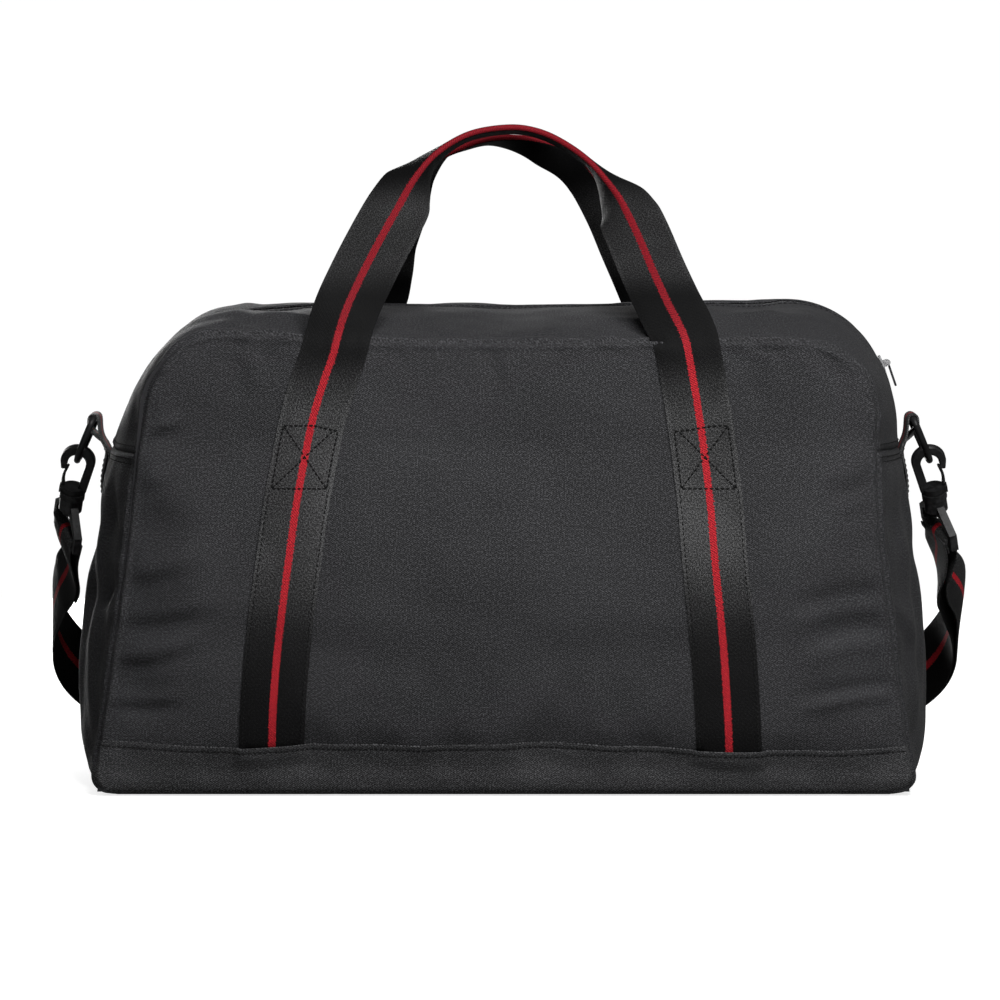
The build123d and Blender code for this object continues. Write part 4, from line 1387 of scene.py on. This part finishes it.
# ---- Gates of the hooks ----------------------------------------------------------------
# The springy tongue, in the hook's own plane: outward from the collar's axis, up from its
# foot, and half its width there.
GATE_LINE = ((6.3, 8.6, 1.15), (6.75, 12.5, 1.0), (6.5, 16.5, 0.9), (5.5, 20.0, 0.85),
             (4.75, 22.3, 0.8))
GATE_DEEP = 2.1 * MM  # half its width across the hook
GATE_SIDES = 16


def make_gate(hand, label):
    """A slightly bowed moulded tongue with round edges, rooted in the collar."""
    foot, axis, outward_axis, side, _ = clip_frame(hand, label)
    line = smooth_path(MM * np.array(GATE_LINE), 0.5 * MM)
    turn = np.linspace(0, 2 * math.pi, GATE_SIDES, endpoint=False)
    thick, deep = (np.sign(w) * np.abs(w) ** 0.7 for w in (np.cos(turn), np.sin(turn)))
    grow = np.linspace(0.25, 20, len(line))
    taper = np.sqrt(np.clip(np.minimum(grow, grow[::-1]), 0, 1))[:, None]
    u = line[:, :1] + line[:, 2:] * thick * taper
    verts = (foot + u[..., None] * outward_axis + line[:, 1, None, None] * axis
             + (GATE_DEEP * deep * taper)[..., None] * side)
    faces = grid_faces(len(line), GATE_SIDES, wrap=True).tolist()
    faces += [list(range(GATE_SIDES - 1, -1, -1)),
              list(range(GATE_SIDES * (len(line) - 1), GATE_SIDES * len(line)))]
    gate = mesh_object(f"{label}_gate_tongue", verts.reshape(-1, 3), faces)
    finish_piece(gate, PLASTIC, f"{label}_gate", [f"{label}_gate"])


for hand, label in HANDS:
    make_gate(hand, label)

# ---- Materials of the CAD parts that show as they are ----------------------------------
CAD_LOOKS = (("d_ring", PLASTIC), ("swivel_base", PLASTIC), ("hook", PLASTIC),
             ("zip_slider", METAL), ("zip_pull", PULL), ("strap_adjuster", PLASTIC),
             ("base_board", BOARD), ("seam_binding", LINING))
for name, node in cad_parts.items():
    for ending, look in CAD_LOOKS:
        if name.endswith(ending):
            for place in node.material_slots:
                place.material = look

# ---- Floor, light and camera ----------------------------------------------------------
FLOOR_HALF = 1.4
FLOOR_DROP = 0.6 * MM  # the floor stays clear of the bag's underside
floor = mesh_object("floor", [(x * FLOOR_HALF, y * FLOOR_HALF, -FLOOR_DROP)
                              for x, y in ((-1, -1), (1, -1), (1, 1), (-1, 1))], [[0, 1, 2, 3]])
white = Nodes("floor_white", Roughness=0.9, Emission_Color=(1, 1, 1, 1))
seen = white.add("ShaderNodeLightPath").outputs["Is Camera Ray"]
white.paint(white.mix(seen, (0.25, 0.25, 0.25), (0.60, 0.60, 0.60)))
white.link(white.times(seen, 0.75), white.shader.inputs["Emission Strength"])
floor.data.materials.append(white.material)

world = bpy.data.worlds.new("studio")
world.use_nodes = True
sky = world.node_tree
background = sky.nodes["Background"]
background.inputs["Color"].default_value = (1, 1, 1, 1)
path = sky.nodes.new("ShaderNodeLightPath")
level = sky.nodes.new("ShaderNodeMath")
level.operation = "MULTIPLY_ADD"
level.inputs[1].default_value = 0.95
level.inputs[2].default_value = 0.06
sky.links.new(path.outputs["Is Camera Ray"], level.inputs[0])
sky.links.new(level.outputs[0], background.inputs["Strength"])
bpy.context.scene.world = world
bpy.context.scene.view_settings.view_transform = "Standard"


def soft_light(name, place, aim, size, power):
    """A large square lamp, turned towards a point."""
    data = bpy.data.lights.new(name, "AREA")
    data.energy, data.size = power, size
    lamp = bpy.data.objects.new(name, data)
    lamp.location = place
    lamp.rotation_euler = (Vector(aim) - Vector(place)).to_track_quat("-Z", "Y").to_euler()
    bpy.context.collection.objects.link(lamp)


soft_light("key", (0.22, -0.90, 0.96), (0, -0.1, 0.20), 0.7, 27)
soft_light("fill", (2.2, -0.5, 0.9), (0.1, 0, 0.15), 1.0, 6)
soft_light("back", (-0.5, 1.7, 0.42), (0, 0.1, 0.15), 0.8, 26)

CAMERA_FAR = 3.8
CAMERA_RISE = math.radians(3.5)
AIM = Vector((-0.002, -0.12, 0.173))
camera_data = bpy.data.cameras.new("camera")
camera_data.lens, camera_data.sensor_width = 235, 36
camera = bpy.data.objects.new("camera", camera_data)
camera.location = AIM + CAMERA_FAR * Vector((0, -math.cos(CAMERA_RISE), math.sin(CAMERA_RISE)))
camera.rotation_euler = (AIM - camera.location).to_track_quat("-Z", "Y").to_euler()
bpy.context.collection.objects.link(camera)
bpy.context.scene.camera = camera
